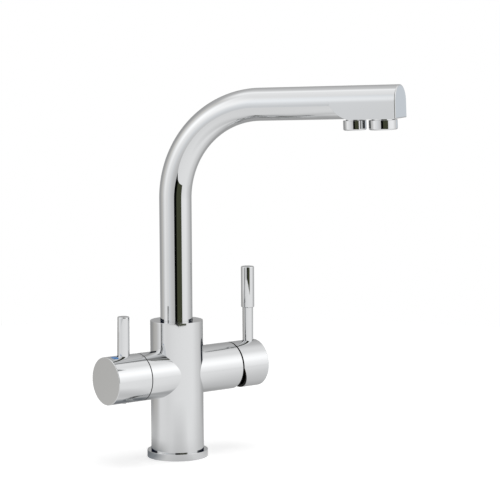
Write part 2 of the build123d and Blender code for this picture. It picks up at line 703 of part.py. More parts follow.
# Filter handle cap: chromed cup over the headpart, with a plain flat end face
with BuildPart() as filter_handle_cap:
    turn(filtered, (filter_cap_start, filter_cap_end, cap_radius))
    cap_edges = filter_handle_cap.edges().filter_by(GeomType.CIRCLE).sort_by(Axis.X)
    fillet(cap_edges[0], cap_rounding)
    fillet(cap_edges[-1], arm_rounding)
    bore(filtered, (filter_cap_start - overrun, filter_plate_start, cap_bore))
    turn(filtered, (filter_hub_start, filter_cap_end - cap_rounding, hub_radius))
    lever_axis = above(filtered, filter_lever_reach)
    lever_pad_radius = filter_lever_foot_radius + rod_pad_wall
    turn(lever_axis, (0, rod_seat_floor, lever_pad_radius))
    left_grub_axis = Plane(origin=(-filter_grub_reach, 0, arm_height), x_dir=(1, 0, 0), z_dir=(0, 0, -1))
    turn(left_grub_axis, (0, rod_seat_floor, grub_radius + grub_pad_wall))
    drive_end = filter_spindle_end + free_gap
    bore(filtered, (filter_hub_start - overrun, drive_end, filter_spindle_radius + close_fit))
    bore(lever_axis, (filter_lever_seat, cap_radius + overrun, filter_lever_foot_radius + close_fit))
    thread_floor = filter_spindle_radius + rod_pad_wall
    bore(lever_axis, (thread_floor, filter_lever_seat + overrun, rod_thread_radius))
    bore(left_grub_axis, (filter_spindle_radius / 2, cap_radius + overrun, grub_radius))
    # The mark leans forward off the crest, towards whoever stands at the sink
    mark_axis = Plane(
        origin=(-mark_reach, 0, arm_height), x_dir=(1, 0, 0),
        z_dir=(0, -sin(radians(mark_lean)), cos(radians(mark_lean))),
    )
    bore(mark_axis, (mark_top - mark_depth, cap_radius + overrun, mark_radius + close_fit))
finish(filter_handle_cap, "filter_handle_cap")

# Filter lever: chromed pin screwed into the cap, a little thicker at its foot
with BuildPart() as filter_lever:
    with BuildSketch(Plane.XZ) as lever_profile:
        with BuildLine():
            Polyline(
                (-filter_lever_reach, arm_height + filter_lever_seat),
                (-filter_lever_reach + filter_lever_foot_radius, arm_height + filter_lever_seat),
                (-filter_lever_reach + filter_lever_radius, arm_height + filter_lever_height),
                (-filter_lever_reach, arm_height + filter_lever_height),
                close=True,
            )
        make_face()
    revolve(lever_profile.sketch, axis=Axis((-filter_lever_reach, 0, 0), (0, 0, 1)))
    fillet(filter_lever.edges().filter_by(GeomType.CIRCLE).sort_by(Axis.Z)[-1], lever_rounding)
    turn(lever_axis, (thread_floor + free_gap, filter_lever_seat, rod_thread_radius - close_fit))
finish(filter_lever, "filter_lever")

# Filter mark: round blue enamel disc let into the cap beside the lever, a little forward
with BuildPart() as filter_mark:
    turn(mark_axis, (mark_top - mark_depth, mark_top, mark_radius))
finish(filter_mark, "filter_mark")

# Filter grub screw: set screw in the cap's underside, tightened on the spindle's flat
with BuildPart() as filter_grub_screw:
    grub_tip = filter_spindle_radius - filter_spindle_flat + close_fit
    turn(left_grub_axis, (grub_tip, grub_tip + grub_length, grub_radius - close_fit))
    key_socket(left_grub_axis, grub_tip + grub_length, grub_key_radius, grub_key_depth)
finish(filter_grub_screw, "filter_grub_screw")

# Spout tube: bent brass pipe, chromed, from the body's socket to the head
with BuildPart() as spout_tube:
    spout_sweep(pipe_foot, 0, head_start, pipe_radius, pipe_bore)
finish(spout_tube, "spout_tube")

# Spout ferrule: turned brass foot brazed into the pipe, grooved for bushes, seals and screw
with BuildPart() as spout_ferrule:
    turn(
        column,
        (ferrule_foot, pipe_foot, ferrule_radius),
        (pipe_foot, pipe_foot + ferrule_spigot, pipe_bore - close_fit),
    )
    bore(column, (ferrule_foot - overrun, pipe_foot + ferrule_spigot + overrun, ferrule_bore))
    grooves = [(height, height + bush_height + film_gap) for height in bush_heights]
    for height in spout_seal_heights:
        groove_half = spout_seal_thickness / 2 + film_gap
        grooves.append((height - groove_half, height + groove_half))
    grooves.append((lock_height - lock_groove_height / 2, lock_height + lock_groove_height / 2))
    for bottom, top in grooves:
        with BuildSketch(column.offset(bottom)) as groove:
            Circle(ferrule_radius + overrun)
            Circle(groove_radius, mode=Mode.SUBTRACT)
        extrude(groove.sketch, amount=top - bottom, mode=Mode.SUBTRACT)
finish(spout_ferrule, "spout_ferrule")

# Spout bushes: two split plastic rings that carry the spout in its socket
with BuildPart() as spout_bushes:
    for height in bush_heights:
        low = height + film_gap / 2
        turn(column, (low, low + bush_height, socket_radius - close_fit))
        bore(column, (low, low + bush_height, groove_radius + close_fit))
        gap_middle = (socket_radius, 0)
        block(column, low, low + bush_height, 2 * ferrule_wall, bush_split, gap_middle, Mode.SUBTRACT)
finish(spout_bushes, "spout_bushes")

# Spout seals: two rubber rings between the ferrule and the socket
with BuildPart() as spout_seals:
    for height in spout_seal_heights:
        with Locations((0, 0, height)):
            seal_section = (socket_radius - groove_radius - 2 * film_gap) / 2
            Torus(groove_radius + film_gap + seal_section, seal_section)
finish(spout_seals, "spout_seals")

# Spout head: brass casting, flush with the pipe above and square below, drilled for both waters
head_mid_x = head_start + corner_mid_shares[0] * corner_reach
head_mid_y = -corner_mid_shares[1] * pipe_radius
outlets = {
    "mixed": (mixed_outlet_reach, mixed_outlet_radius),
    "filter": (filter_outlet_reach, filter_outlet_radius),
}
with BuildPart() as spout_head:
    turn(spout_axis, (head_start, head_end, pipe_radius))
    with BuildSketch(spout_side) as head_profile:
        with BuildLine():
            Polyline(
                (head_start, 0),
                (head_end, 0),
                (head_end, -pipe_radius),
                (head_start + corner_reach, -pipe_radius),
            )
            ThreePointArc(
                (head_start + corner_reach, -pipe_radius),
                (head_mid_x, head_mid_y),
                (head_start, 0),
            )
        make_face()
    extrude(head_profile.sketch, amount=pipe_radius - head_side_inset, both=True)
    end_face = spout_head.faces().sort_by(Axis(spout_axis.origin, spout_axis.z_dir))[-1]
    fillet(end_face.edges(), head_rounding)
    spigot_start = head_start - head_spigot
    turn(spout_axis, (spigot_start, head_start, pipe_bore - close_fit))
    # Mixed water duct along the top, filtered water duct along the bottom
    mixed_duct_end = mixed_outlet_reach + mixed_outlet_radius - outlet_wall
    mixed_duct = (spigot_start - overrun, mixed_duct_end, mixed_duct_radius)
    bore(spout_axis, mixed_duct, at=(0, mixed_duct_rise))
    filter_duct = (spigot_start - overrun, filter_outlet_reach, tube_radius + close_fit)
    bore(spout_axis, filter_duct, at=(0, -tube_drop))
    washer_floor = outlet_thread_length + outlet_washer_height
    wells = {
        "mixed": pipe_radius + mixed_duct_rise,
        "filter": pipe_radius - tube_drop + tube_radius + 2 * free_gap,
    }
    for name, (reach, radius) in outlets.items():
        down = outlet_axis(reach)
        thread_radius = radius - outlet_thread_step
        bore(down, (-washer_floor, overrun, thread_radius + close_fit))
        bore(down, (-wells[name], -washer_floor, radius - outlet_wall))
finish(spout_head, "spout_head")

# Outlet rings, nozzle inserts and washers: the same set for the mixed and filtered outlets
for name, (reach, radius) in outlets.items():
    down = outlet_axis(reach)
    outlet_bore = radius - outlet_wall
    thread_radius = radius - outlet_thread_step
    with BuildPart() as outlet_ring:
        turn(down, (outlet_gap, outlet_drop_below, radius))
        down_axis = Axis(down.origin, down.z_dir)
        mouth = outlet_ring.edges().filter_by(GeomType.CIRCLE).sort_by(down_axis)[-1]
        fillet(mouth, outlet_rounding)
        turn(down, (-outlet_thread_length, outlet_gap, thread_radius))
        lip_start = outlet_drop_below - outlet_lip_height
        bore(down, (-outlet_thread_length - overrun, lip_start, outlet_bore))
        bore(down, (lip_start - overrun, outlet_drop_below + overrun, outlet_bore - outlet_lip_width))
    finish(outlet_ring, f"{name}_outlet_ring")

    with BuildPart() as outlet_insert:
        insert_start = lip_start - insert_height
        turn(down, (insert_start, lip_start, outlet_bore - close_fit))
        rows = int((outlet_bore - 2 * nozzle_radius) / nozzle_pitch)
        with BuildSketch(down.offset(insert_start)) as nozzles:
            Circle(nozzle_radius)
            for row in range(1, rows + 1):
                with PolarLocations(row * nozzle_pitch, int(6 * row * nozzle_pitch / nozzle_spacing)):
                    Circle(nozzle_radius)
        extrude(nozzles.sketch, amount=insert_height, mode=Mode.SUBTRACT)
    finish(outlet_insert, f"{name}_outlet_insert")

    with BuildPart() as outlet_washer:
        turn(down, (-washer_floor, -outlet_thread_length, thread_radius))
        bore(down, (-washer_floor - overrun, overrun, outlet_bore))
    finish(outlet_washer, f"{name}_outlet_washer")

# Filtered water tube: plastic tube through the spout, kept apart from the mixed water
with BuildPart() as filter_water_tube:
    tube_end = filter_outlet_reach - filter_outlet_radius + outlet_thread_step - groove_land
    spout_sweep(tube_foot + free_gap, tube_drop, tube_end, tube_radius, tube_radius - tube_wall)
finish(filter_water_tube, "filter_water_tube")

# Tube seal: rubber ring round the filtered water tube in the socket's floor
with BuildPart() as filter_tube_seal:
    with Locations((0, 0, socket_floor - tube_seal_pocket / 2)):
        seal_section = tube_seal_thickness / 2
        Torus(tube_radius + film_gap + seal_section, seal_section)
finish(filter_tube_seal, "filter_tube_seal")
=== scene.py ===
import bpy
import bmesh
import math
from mathutils import Matrix, Vector


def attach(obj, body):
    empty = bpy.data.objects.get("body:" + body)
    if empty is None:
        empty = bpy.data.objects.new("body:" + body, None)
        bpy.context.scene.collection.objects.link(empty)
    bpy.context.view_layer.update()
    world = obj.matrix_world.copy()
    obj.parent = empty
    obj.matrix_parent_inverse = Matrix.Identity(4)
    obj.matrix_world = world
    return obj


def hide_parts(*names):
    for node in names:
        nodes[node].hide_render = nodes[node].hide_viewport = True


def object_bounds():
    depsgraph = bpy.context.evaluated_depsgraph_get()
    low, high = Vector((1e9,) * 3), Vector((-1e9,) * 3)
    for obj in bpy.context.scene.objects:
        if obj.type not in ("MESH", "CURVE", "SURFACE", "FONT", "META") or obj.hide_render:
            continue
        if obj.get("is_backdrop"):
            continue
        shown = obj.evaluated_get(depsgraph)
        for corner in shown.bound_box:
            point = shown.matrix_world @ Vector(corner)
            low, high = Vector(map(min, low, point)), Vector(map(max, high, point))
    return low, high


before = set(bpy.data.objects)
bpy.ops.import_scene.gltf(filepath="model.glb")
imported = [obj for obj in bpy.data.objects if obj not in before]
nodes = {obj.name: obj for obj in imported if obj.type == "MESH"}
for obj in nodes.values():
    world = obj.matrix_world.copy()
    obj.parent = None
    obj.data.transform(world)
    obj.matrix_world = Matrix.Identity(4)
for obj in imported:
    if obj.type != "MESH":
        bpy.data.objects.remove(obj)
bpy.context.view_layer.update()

# Camera: a long lens on a stand two metres off, turned 38 degrees to the tap's left and
# looking seven degrees down, as the photograph was taken.
VIEW_TURN, VIEW_DIP, VIEW_ROLL = math.radians(37.748), math.radians(6.596), math.radians(0.313)
VIEW_ASIDE, VIEW_AWAY, VIEW_HEIGHT = 0.064341, 1.932093, 0.404289
SENSOR_WIDTH, FOCAL_LENGTH = 36, 161.43
towards_tap = Vector((math.sin(VIEW_TURN), math.cos(VIEW_TURN), 0))
to_the_right = Vector((math.cos(VIEW_TURN), -math.sin(VIEW_TURN), 0))
ahead = (towards_tap * math.cos(VIEW_DIP) - Vector((0, 0, math.sin(VIEW_DIP)))).normalized()
level_up = to_the_right.cross(ahead)
lens_right = to_the_right * math.cos(VIEW_ROLL) - level_up * math.sin(VIEW_ROLL)
lens_up = lens_right.cross(ahead)
camera_data = bpy.data.cameras.new("camera")
camera_data.sensor_width = SENSOR_WIDTH
camera_data.lens = FOCAL_LENGTH
camera = bpy.data.objects.new("camera", camera_data)
bpy.context.scene.collection.objects.link(camera)
stand = to_the_right * VIEW_ASIDE - towards_tap * VIEW_AWAY + Vector((0, 0, VIEW_HEIGHT))
aim = Matrix((lens_right, lens_up, -ahead)).transposed().to_4x4()
camera.matrix_world = Matrix.Translation(stand) @ aim
bpy.context.scene.camera = camera
bpy.context.scene.view_settings.view_transform = "Standard"


# Base ring: a turned brass ring, polished and chromed, that covers the hole in the worktop.
# Its top edge is rounded over, and a groove below holds the rubber ring.
def srgb(code):
    """Linear colour from an sRGB hex code."""
    parts = [int(code[i:i + 2], 16) / 255 for i in (1, 3, 5)]
    return [p / 12.92 if p <= 0.04045 else ((p + 0.055) / 1.055) ** 2.4 for p in parts] + [1]


def add(tree, kind, sockets=(), **settings):
    """Adds a node, gives it its settings, and gives each socket its value or its link."""
    made = tree.nodes.new(kind)
    for name, value in settings.items():
        if hasattr(made, name):
            setattr(made, name, value)
        else:
            made.inputs[name.replace("_", " ")].default_value = value
    for socket, source in dict(sockets).items():
        if isinstance(source, bpy.types.NodeSocket):
            tree.links.new(source, made.inputs[socket])
        else:
            made.inputs[socket].default_value = source
    return made


def grains(width):
    """Scale of a noise whose grains are this many millimetres wide."""
    return 1000 / width


def finish(name):
    """A new material with an empty node tree and its output."""
    material = bpy.data.materials.new(name)
    material.use_nodes = True
    material.node_tree.nodes.clear()
    return material, material.node_tree, material.node_tree.nodes.new("ShaderNodeOutputMaterial")


# Bright chrome over polished brass: a clean mirror, a little cooler than steel. Buffing
# leaves a faint waviness some 30 mm across, and handling an uneven haze half as wide.
chrome, tree, out = finish("polished_chrome_plate")
place = add(tree, "ShaderNodeTexCoord")
haze = add(tree, "ShaderNodeTexNoise", {"Vector": place.outputs["Object"]}, Scale=grains(14.3),
           Detail=4)
gloss = add(tree, "ShaderNodeMapRange", {"Value": haze.outputs["Fac"]}, To_Min=0.014, To_Max=0.034)
wave = add(tree, "ShaderNodeTexNoise", {"Vector": place.outputs["Object"]}, Scale=grains(30.3),
           Detail=1)
buffed = add(tree, "ShaderNodeBump", {"Height": wave.outputs["Fac"]}, Strength=0.035, Distance=0.0004)
plate = add(tree, "ShaderNodeBsdfPrincipled", {"Roughness": gloss.outputs["Result"],
            "Normal": buffed.outputs["Normal"]}, Base_Color=srgb("#d4d5d6"), Metallic=1)
tree.links.new(plate.outputs["BSDF"], out.inputs["Surface"])


ARC_STEPS, FLAT_REST, SHARP_TURN = 6, 0.08, 32
COLUMN_SIDES, ROD_SIDES, HOLE_SIDES = 192, 96, 48


def eased(corners):
    """Turning profile from corners (along, out, rounding) in mm. Each rounded corner turns
    into a short arc, with a point just before and after it that keeps the flats flat."""
    points = []
    count = len(corners)
    for i, (along, outward, rounding) in enumerate(corners):
        here = Vector((along, outward))
        before = Vector(corners[i - 1][:2]) - here
        after = Vector(corners[(i + 1) % count][:2]) - here
        if rounding <= 0:
            points.append(here)
            continue
        before.normalize()
        after.normalize()
        half = before.angle(after) / 2
        cut = rounding / math.tan(half)
        middle = here + (before + after).normalized() * rounding / math.sin(half)
        start, end = here + before * cut, here + after * cut
        points.append(start + before * FLAT_REST)
        for step in range(ARC_STEPS + 1):
            points.append(middle + (start - middle).slerp(end - middle, step / ARC_STEPS) * rounding)
        points.append(end + after * FLAT_REST)
    return points


def skinned(mesh, rows, sides):
    """Joins rings of points into faces. A ring of one point is a pole."""
    for low, high in zip(rows, rows[1:]):
        if len(low) == len(high) == 1:
            continue
        for step in range(sides):
            nxt = (step + 1) % sides
            corners = [low[step % len(low)], low[nxt % len(low)], high[nxt % len(high)],
                       high[step % len(high)]]
            mesh.faces.new(list(dict.fromkeys(corners)))


def turned(mesh, corners, axis, start, sides=COLUMN_SIDES, shift=None):
    """Adds a turned shape to a bmesh. The profile runs along the axis from start, in mm, and
    points with no radius become poles. shift moves a point along the axis, where a rim is cut."""
    along = Vector(axis).normalized()
    side = Vector((0, 0, 1)) if abs(along.z) < 0.9 else Vector((1, 0, 0))
    side = (side - along * side.dot(along)).normalized()
    other = along.cross(side)
    rows = []
    for point in eased(corners):
        row = []
        for step in range(sides if point.y > 1e-6 else 1):
            angle = 2 * math.pi * step / sides
            radial = (side * math.cos(angle) + other * math.sin(angle)) * point.y
            more = shift(point, radial) if shift else 0
            row.append(mesh.verts.new((Vector(start) + along * (point.x + more) + radial) / 1000))
        rows.append(row)
    skinned(mesh, rows + rows[:1], sides)


def set_out(name, mesh):
    """Turns a bmesh into an object of the scene."""
    data = bpy.data.meshes.new(name)
    mesh.to_mesh(data)
    mesh.free()
    made = bpy.data.objects.new(name, data)
    bpy.context.scene.collection.objects.link(made)
    return made


def piece(name, mesh, material, body, stands_for=()):
    """Turns a bmesh into an object with smooth faces and sharp edges where it turns, hangs it
    on the body it rides on, gives it its finish and hides the solids it stands for."""
    bmesh.ops.recalc_face_normals(mesh, faces=mesh.faces)
    made = set_out(name, mesh)
    made.data.shade_smooth()
    made.data.set_sharp_from_angle(angle=math.radians(SHARP_TURN))
    made.data.materials.append(material)
    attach(made, body)
    for node in stands_for:
        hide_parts(node)


RING_RADIUS, RING_HEIGHT, RING_BORE, SPIGOT_RADIUS = 26.5, 6.1, 19.05, 19.0
GROOVE_IN, GROOVE_OUT, GROOVE_DEPTH = 21.55, 24.05, 2.2
UP, FOOT = (0, 0, 1), (0, 0, 0)
ring = bmesh.new()
turned(ring, [(0, RING_BORE, 0), (0, GROOVE_IN, 0), (GROOVE_DEPTH, GROOVE_IN, 0),
              (GROOVE_DEPTH, GROOVE_OUT, 0), (0, GROOVE_OUT, 0), (0, RING_RADIUS, 0.2),
              (RING_HEIGHT, RING_RADIUS, 0.18), (RING_HEIGHT, RING_BORE, 0)], UP, FOOT)
piece("base_ring_plated", ring, chrome, "tap_body", ["base_ring"])

# Base seal and the other rubber rings: moulded black nitrile, pressed into grooves, dull,
# with a grain that catches a soft light along the edges. It is drawn a millimetre wide,
# because a real one is too fine to show.
rubber, tree, out = finish("moulded_nitrile_rubber")
place = add(tree, "ShaderNodeTexCoord")
grain = add(tree, "ShaderNodeTexNoise", {"Vector": place.outputs["Object"]}, Scale=grains(1.11),
            Detail=3)
skin = add(tree, "ShaderNodeBump", {"Height": grain.outputs["Fac"]}, Strength=0.3, Distance=0.0001)
tint = add(tree, "ShaderNodeMix", {"Factor": grain.outputs["Fac"], 6: srgb("#141415"),
           7: srgb("#242526")}, data_type="RGBA")
moulded = add(tree, "ShaderNodeBsdfPrincipled", {"Base Color": tint.outputs[2],
              "Normal": skin.outputs["Normal"]}, Roughness=0.62, IOR=1.52)
tree.links.new(moulded.outputs["BSDF"], out.inputs["Surface"])


def dress(material, *names):
    """Gives CAD solids that keep their own shape a new finish."""
    for name in names:
        data = nodes[name].data
        data.materials.clear()
        data.materials.append(material)


dress(rubber, "base_seal", "cartridge_seals", "filter_seat_seal", "filter_valve_seal",
      "filter_tube_seal", "spout_seals", "mixed_outlet_washer", "filter_outlet_washer")

# Body: one brass casting of the column and both arms, machined, polished and chromed. The
# arms meet the column in a crisp line, and their mouths are bored for what they hold. Two
# more rings of points keep the column's shading even round the lock screw's hole.
COLUMN_RADIUS, COLUMN_TOP, ARM_RADIUS, ARM_HEIGHT = 23.0, 120.0, 20.7, 74.0
CHAMBER_RADIUS, CHAMBER_DEPTH, SOCKET_RADIUS, SOCKET_FLOOR = 16.5, 22.0, 14.3, 95.0
PLUG_TOP, LOCK_HEIGHT, LOCK_RADIUS, LOCK_MOUTH = 38.0, 111.9, 2.5, 23.4
HOLE_BAND_FOOT, HOLE_BAND_TOP = 106, 117
MIXER_ARM, FILTER_ARM, ARM_ROOT, PLATED_WALL, CRISP = 57.15, 40.0, 8, 0.12, 0.06
UNPLATED = ARM_RADIUS - PLATED_WALL
ARM_AXIS = (0, 0, ARM_HEIGHT)


def drilled(solid, cutters):
    """Cuts closed bmesh shapes out of a closed bmesh with a boolean, and gives a bmesh back."""
    things = []
    for mesh in [solid] + cutters:
        bmesh.ops.recalc_face_normals(mesh, faces=mesh.faces)
        things.append(set_out("blank", mesh))
    for cutter in things[1:]:
        drill = things[0].modifiers.new("drill", "BOOLEAN")
        drill.operation, drill.solver, drill.object = "DIFFERENCE", "EXACT", cutter
    seen = things[0].evaluated_get(bpy.context.evaluated_depsgraph_get())
    data = bpy.data.meshes.new_from_object(seen)
    result = bmesh.new()
    result.from_mesh(data)
    for thing in things:
        bpy.data.objects.remove(thing)
    return result


column = bmesh.new()
turned(column, [(0, CHAMBER_RADIUS, 0), (0, SPIGOT_RADIUS, 0), (RING_HEIGHT, SPIGOT_RADIUS, 0),
                (RING_HEIGHT, COLUMN_RADIUS, 0.1), (HOLE_BAND_FOOT, COLUMN_RADIUS, 0),
                (HOLE_BAND_TOP, COLUMN_RADIUS, 0), (COLUMN_TOP, COLUMN_RADIUS, 0.25),
                (COLUMN_TOP, SOCKET_RADIUS, 0.2), (SOCKET_FLOOR, SOCKET_RADIUS, 0), (SOCKET_FLOOR, 0, 0),
                (PLUG_TOP, 0, 0), (PLUG_TOP, CHAMBER_RADIUS, 0)], UP, FOOT)
hole = bmesh.new()
turned(hole, [(SOCKET_RADIUS - 1, 0, 0), (SOCKET_RADIUS - 1, LOCK_RADIUS, 0),
              (LOCK_MOUTH - 1, LOCK_RADIUS, 0), (LOCK_MOUTH, LOCK_RADIUS + 1, 0), (LOCK_MOUTH, 0, 0)],
       (0, 1, 0), (0, 0, LOCK_HEIGHT), HOLE_SIDES)
column = drilled(column, [hole])
for side, end, shoulder, bore, floor in ((1, MIXER_ARM, 48.7, 17.6, 21),
                                         (-1, FILTER_ARM, 36, 10.5, 22)):
    turned(column, [(ARM_ROOT, 0, 0), (ARM_ROOT, ARM_RADIUS, 0), (end, ARM_RADIUS, CRISP),
                    (end, UNPLATED, 0), (shoulder, UNPLATED, 0), (shoulder, bore, 0), (floor, bore, 0),
                    (floor, 0, 0)], (side, 0, 0), ARM_AXIS)
piece("body_plated", column, chrome, "tap_body", ["body_casting"])

# Bores: the plating doesn't reach inside. The machined brass in the arms' mouths and the
# handles is dull, with stains some 4 mm wide, and its near-black colour is painted shade,
# so the gaps between arm and handle read dark.
stained_brass_painted_dark, tree, out = finish("stained_bored_brass_painted_shade")
place = add(tree, "ShaderNodeTexCoord")
stain = add(tree, "ShaderNodeTexNoise", {"Vector": place.outputs["Object"]}, Scale=grains(4),
            Detail=4)
# The near-black brown is painted shade for the bores and gaps. The noise gives the stains.
tint = add(tree, "ShaderNodeMix", {"Factor": stain.outputs["Fac"], 6: srgb("#0e0c0a"),
           7: srgb("#1c1812")}, data_type="RGBA")
dull = add(tree, "ShaderNodeBsdfPrincipled", {"Base Color": tint.outputs[2]}, Roughness=0.55,
           Metallic=0.6)
tree.links.new(dull.outputs["BSDF"], out.inputs["Surface"])
SETBACK, CLEAR, SUNK = 0.04, 0.01, 0.05
for name, side, end, bore, depth in (("mixer_arm_mouth", 1, MIXER_ARM, 18.9, 8.45),
                                     ("filter_arm_mouth", -1, FILTER_ARM, 15.5, 4.0)):
    mouth = bmesh.new()
    turned(mouth, [(end - depth, bore, 0), (end - SETBACK, bore, 0), (end - SETBACK, UNPLATED - CLEAR, 0),
                   (end - depth, UNPLATED - CLEAR, 0)], (side, 0, 0), ARM_AXIS)
    piece(name, mouth, stained_brass_painted_dark, "tap_body")

# Hose chamber: the bare brass ceiling under the column, drawn a hair inside the wall, with
# three threaded holes for the hot, cold and filtered hoses and a smaller one for the fixing
# stud.
HOSE_RADIUS, HOSE_DEPTH, STUD_RADIUS, STUD_DEPTH = 4.5, 11, 3.4, 14
HOLE_X, HOLE_Y, THREAD_DEPTH, LEAD_IN = 8, 6.3, 0.5, 1.3
plug_radius, plug_top = CHAMBER_RADIUS - 2 * CLEAR, PLUG_TOP - SUNK
plug = bmesh.new()
turned(plug, [(CHAMBER_DEPTH, 0, 0), (CHAMBER_DEPTH, plug_radius, 0), (plug_top, plug_radius, 0),
              (plug_top, 0, 0)], UP, FOOT, ROD_SIDES)
threads = []
for x, y, radius, depth in ((HOLE_X, -HOLE_Y, HOSE_RADIUS, HOSE_DEPTH),
                            (HOLE_X, HOLE_Y, HOSE_RADIUS, HOSE_DEPTH),
                            (-HOLE_X, HOLE_Y, HOSE_RADIUS, HOSE_DEPTH),
                            (-HOLE_X, -HOLE_Y, STUD_RADIUS, STUD_DEPTH)):
    thread = bmesh.new()
    root = radius - THREAD_DEPTH
    ridges = [(CHAMBER_DEPTH - 1, 0, 0), (CHAMBER_DEPTH - 1, radius + LEAD_IN, 0),
              (CHAMBER_DEPTH + 0.5, radius - 0.2, 0)]
    for turn in range(int(depth - 1.5)):
        ridges += [(CHAMBER_DEPTH + 1 + turn, radius, 0), (CHAMBER_DEPTH + 1.5 + turn, root, 0)]
    ridges += [(CHAMBER_DEPTH + depth, root, 0), (CHAMBER_DEPTH + depth, 0, 0)]
    turned(thread, ridges, UP, (x, y, 0), HOLE_SIDES)
    threads.append(thread)


def worked(name, colour, width, smooth, rough, **more):
    """Finish of a cut or ground face: its roughness wanders between two values, over marks of
    this width in mm."""
    material, tree, out = finish(name)
    place = add(tree, "ShaderNodeTexCoord")
    marks = add(tree, "ShaderNodeTexNoise", {"Vector": place.outputs["Object"]}, Scale=grains(width),
                Detail=3)
    gloss = add(tree, "ShaderNodeMapRange", {"Value": marks.outputs["Fac"]}, To_Min=smooth, To_Max=rough)
    face = add(tree, "ShaderNodeBsdfPrincipled", {"Roughness": gloss.outputs["Result"]},
               Base_Color=srgb(colour), **more)
    tree.links.new(face.outputs["BSDF"], out.inputs["Surface"])
    return material


# Bare brass, turned and left unplated: a warm, satin metal whose tool marks blur what it
# mirrors. They are drawn some 2 mm wide, because real ones are too fine to show.
brass = worked("turned_brass", "#cfae6b", 1.67, 0.22, 0.34, Metallic=1)
piece("chamber_ceiling", drilled(plug, threads), brass, "tap_body")

# Mixer handle cap: a chromed cup over the cartridge. Its lower rim is cut back 23 degrees so
# that the handle can tilt, which leaves the dark wedge under the arm's end. A set screw in
# its underside holds it on the spindle.
MIXER_CAP_START, MIXER_CAP_END, MIXER_CAP_FLOOR = 58.65, 86.0, 84.8
RELIEF = math.tan(math.radians(23))
CAP_BORE, GRUB_RADIUS, GRUB_BAND, MIXER_GRUB = 18.7, 2.0, 2.7, 70.6
HUB_RADIUS, GRUB_TOP, GRUB_MOUTH, GRUB_CHAMFER = 8, 12, 21, 0.55


def cut_back(point, radial):
    """How far the rim is cut back under the axis."""
    return max(0.0, -radial.z) * RELIEF if point.x < MIXER_CAP_START + 1 else 0.0


def grub_hole(reach):
    """Cutter for a set screw's hole in a cap's underside."""
    hole = bmesh.new()
    turned(hole, [(GRUB_TOP, 0, 0), (GRUB_TOP, GRUB_RADIUS, 0),
                  (GRUB_MOUTH - GRUB_CHAMFER, GRUB_RADIUS, 0),
                  (GRUB_MOUTH, GRUB_RADIUS + GRUB_CHAMFER, 0), (GRUB_MOUTH, 0, 0)],
           (0, 0, -1), (reach, 0, ARM_HEIGHT), HOLE_SIDES)
    return hole


def plated_cup(side, start, end, floor, grub, shift=None):
    """A cap's chromed skin, whose inside ends at the floor, with the set screw's hole."""
    cup = bmesh.new()
    turned(cup, [(start, UNPLATED, 0), (start, ARM_RADIUS, CRISP), (grub - GRUB_BAND, ARM_RADIUS, 0),
                 (grub + GRUB_BAND, ARM_RADIUS, 0), (end, ARM_RADIUS, 0.5), (end, 0, 0), (floor, 0, 0),
                 (floor, UNPLATED, 0)], (side, 0, 0), ARM_AXIS, shift=shift)
    return drilled(cup, [grub_hole(side * grub)])


def brass_core(side, start, floor, grub, web, hub_mouth, hub_floor, drive_radius, shift=None):
    """The brass inside a cap: its wall, its web and the hub that takes the spindle."""
    core = bmesh.new()
    turned(core, [(start + SETBACK, CAP_BORE, 0), (start + SETBACK, UNPLATED - CLEAR, 0),
                  (floor - SUNK, UNPLATED - 2 * CLEAR, 0), (floor - SUNK, 0, 0), (hub_floor, 0, 0),
                  (hub_floor, drive_radius, 0), (hub_mouth, drive_radius, 0), (hub_mouth, HUB_RADIUS, 0),
                  (web, HUB_RADIUS, 0), (web, CAP_BORE, 0)], (side, 0, 0), ARM_AXIS, shift=shift)
    return drilled(core, [grub_hole(side * grub)])


cup = plated_cup(1, MIXER_CAP_START, MIXER_CAP_END, MIXER_CAP_FLOOR, MIXER_GRUB, cut_back)
piece("mixer_cap_plated", cup, chrome, "mixer_lever", ["mixer_handle_cap"])
core = brass_core(1, MIXER_CAP_START, MIXER_CAP_FLOOR, MIXER_GRUB, web=81.5, hub_mouth=66.5,
                  hub_floor=75.1, drive_radius=5.1, shift=cut_back)
piece("mixer_cap_core", core, stained_brass_painted_dark, "mixer_lever")

# Mixer lever: a chromed rod screwed into the cap, and a thicker sleeve pushed over its upper
# half, with a chamfered foot and an eased top. Play lets it lean a degree to the front left.
ROD_REACH, ROD_RADIUS, ROD_ROOT, ROD_TOP, LEVER_FOOT = 78.4, 4.75, 90, 154.2, 94.0
SLEEVE_RADIUS, SLEEVE_BORE, SLEEVE_FOOT, SLEEVE_TOP, SLEEVE_CHAMFER = 5.86, 4.8, 124.3, 161, 0.6
MIXER_LEAN = 1.2


def leant(mesh, reach, axis, degrees):
    """Leans a lever about its foot, as it stands when the handle comes to rest."""
    foot = Vector((reach, 0, LEVER_FOOT)) / 1000
    turn = Matrix.Rotation(math.radians(degrees), 4, Vector(axis))
    mesh.transform(Matrix.Translation(foot) @ turn @ Matrix.Translation(-foot))
    return mesh


rod = bmesh.new()
turned(rod, [(ROD_ROOT, 0, 0), (ROD_ROOT, ROD_RADIUS, 0), (ROD_TOP, ROD_RADIUS, 0), (ROD_TOP, 0, 0)],
       UP, (ROD_REACH, 0, 0), ROD_SIDES)
piece("mixer_rod_plated", leant(rod, ROD_REACH, to_the_right, MIXER_LEAN), chrome, "mixer_lever",
      ["mixer_lever_rod"])
sleeve = bmesh.new()
turned(sleeve, [(SLEEVE_FOOT, SLEEVE_BORE, 0), (SLEEVE_FOOT, SLEEVE_RADIUS - SLEEVE_CHAMFER, 0.12),
                (SLEEVE_FOOT + SLEEVE_CHAMFER, SLEEVE_RADIUS, 0.15), (SLEEVE_TOP, SLEEVE_RADIUS, 0.8),
                (SLEEVE_TOP, 0, 0), (ROD_TOP + 0.1, 0, 0), (ROD_TOP + 0.1, SLEEVE_BORE, 0)],
       UP, (ROD_REACH, 0, 0), ROD_SIDES)
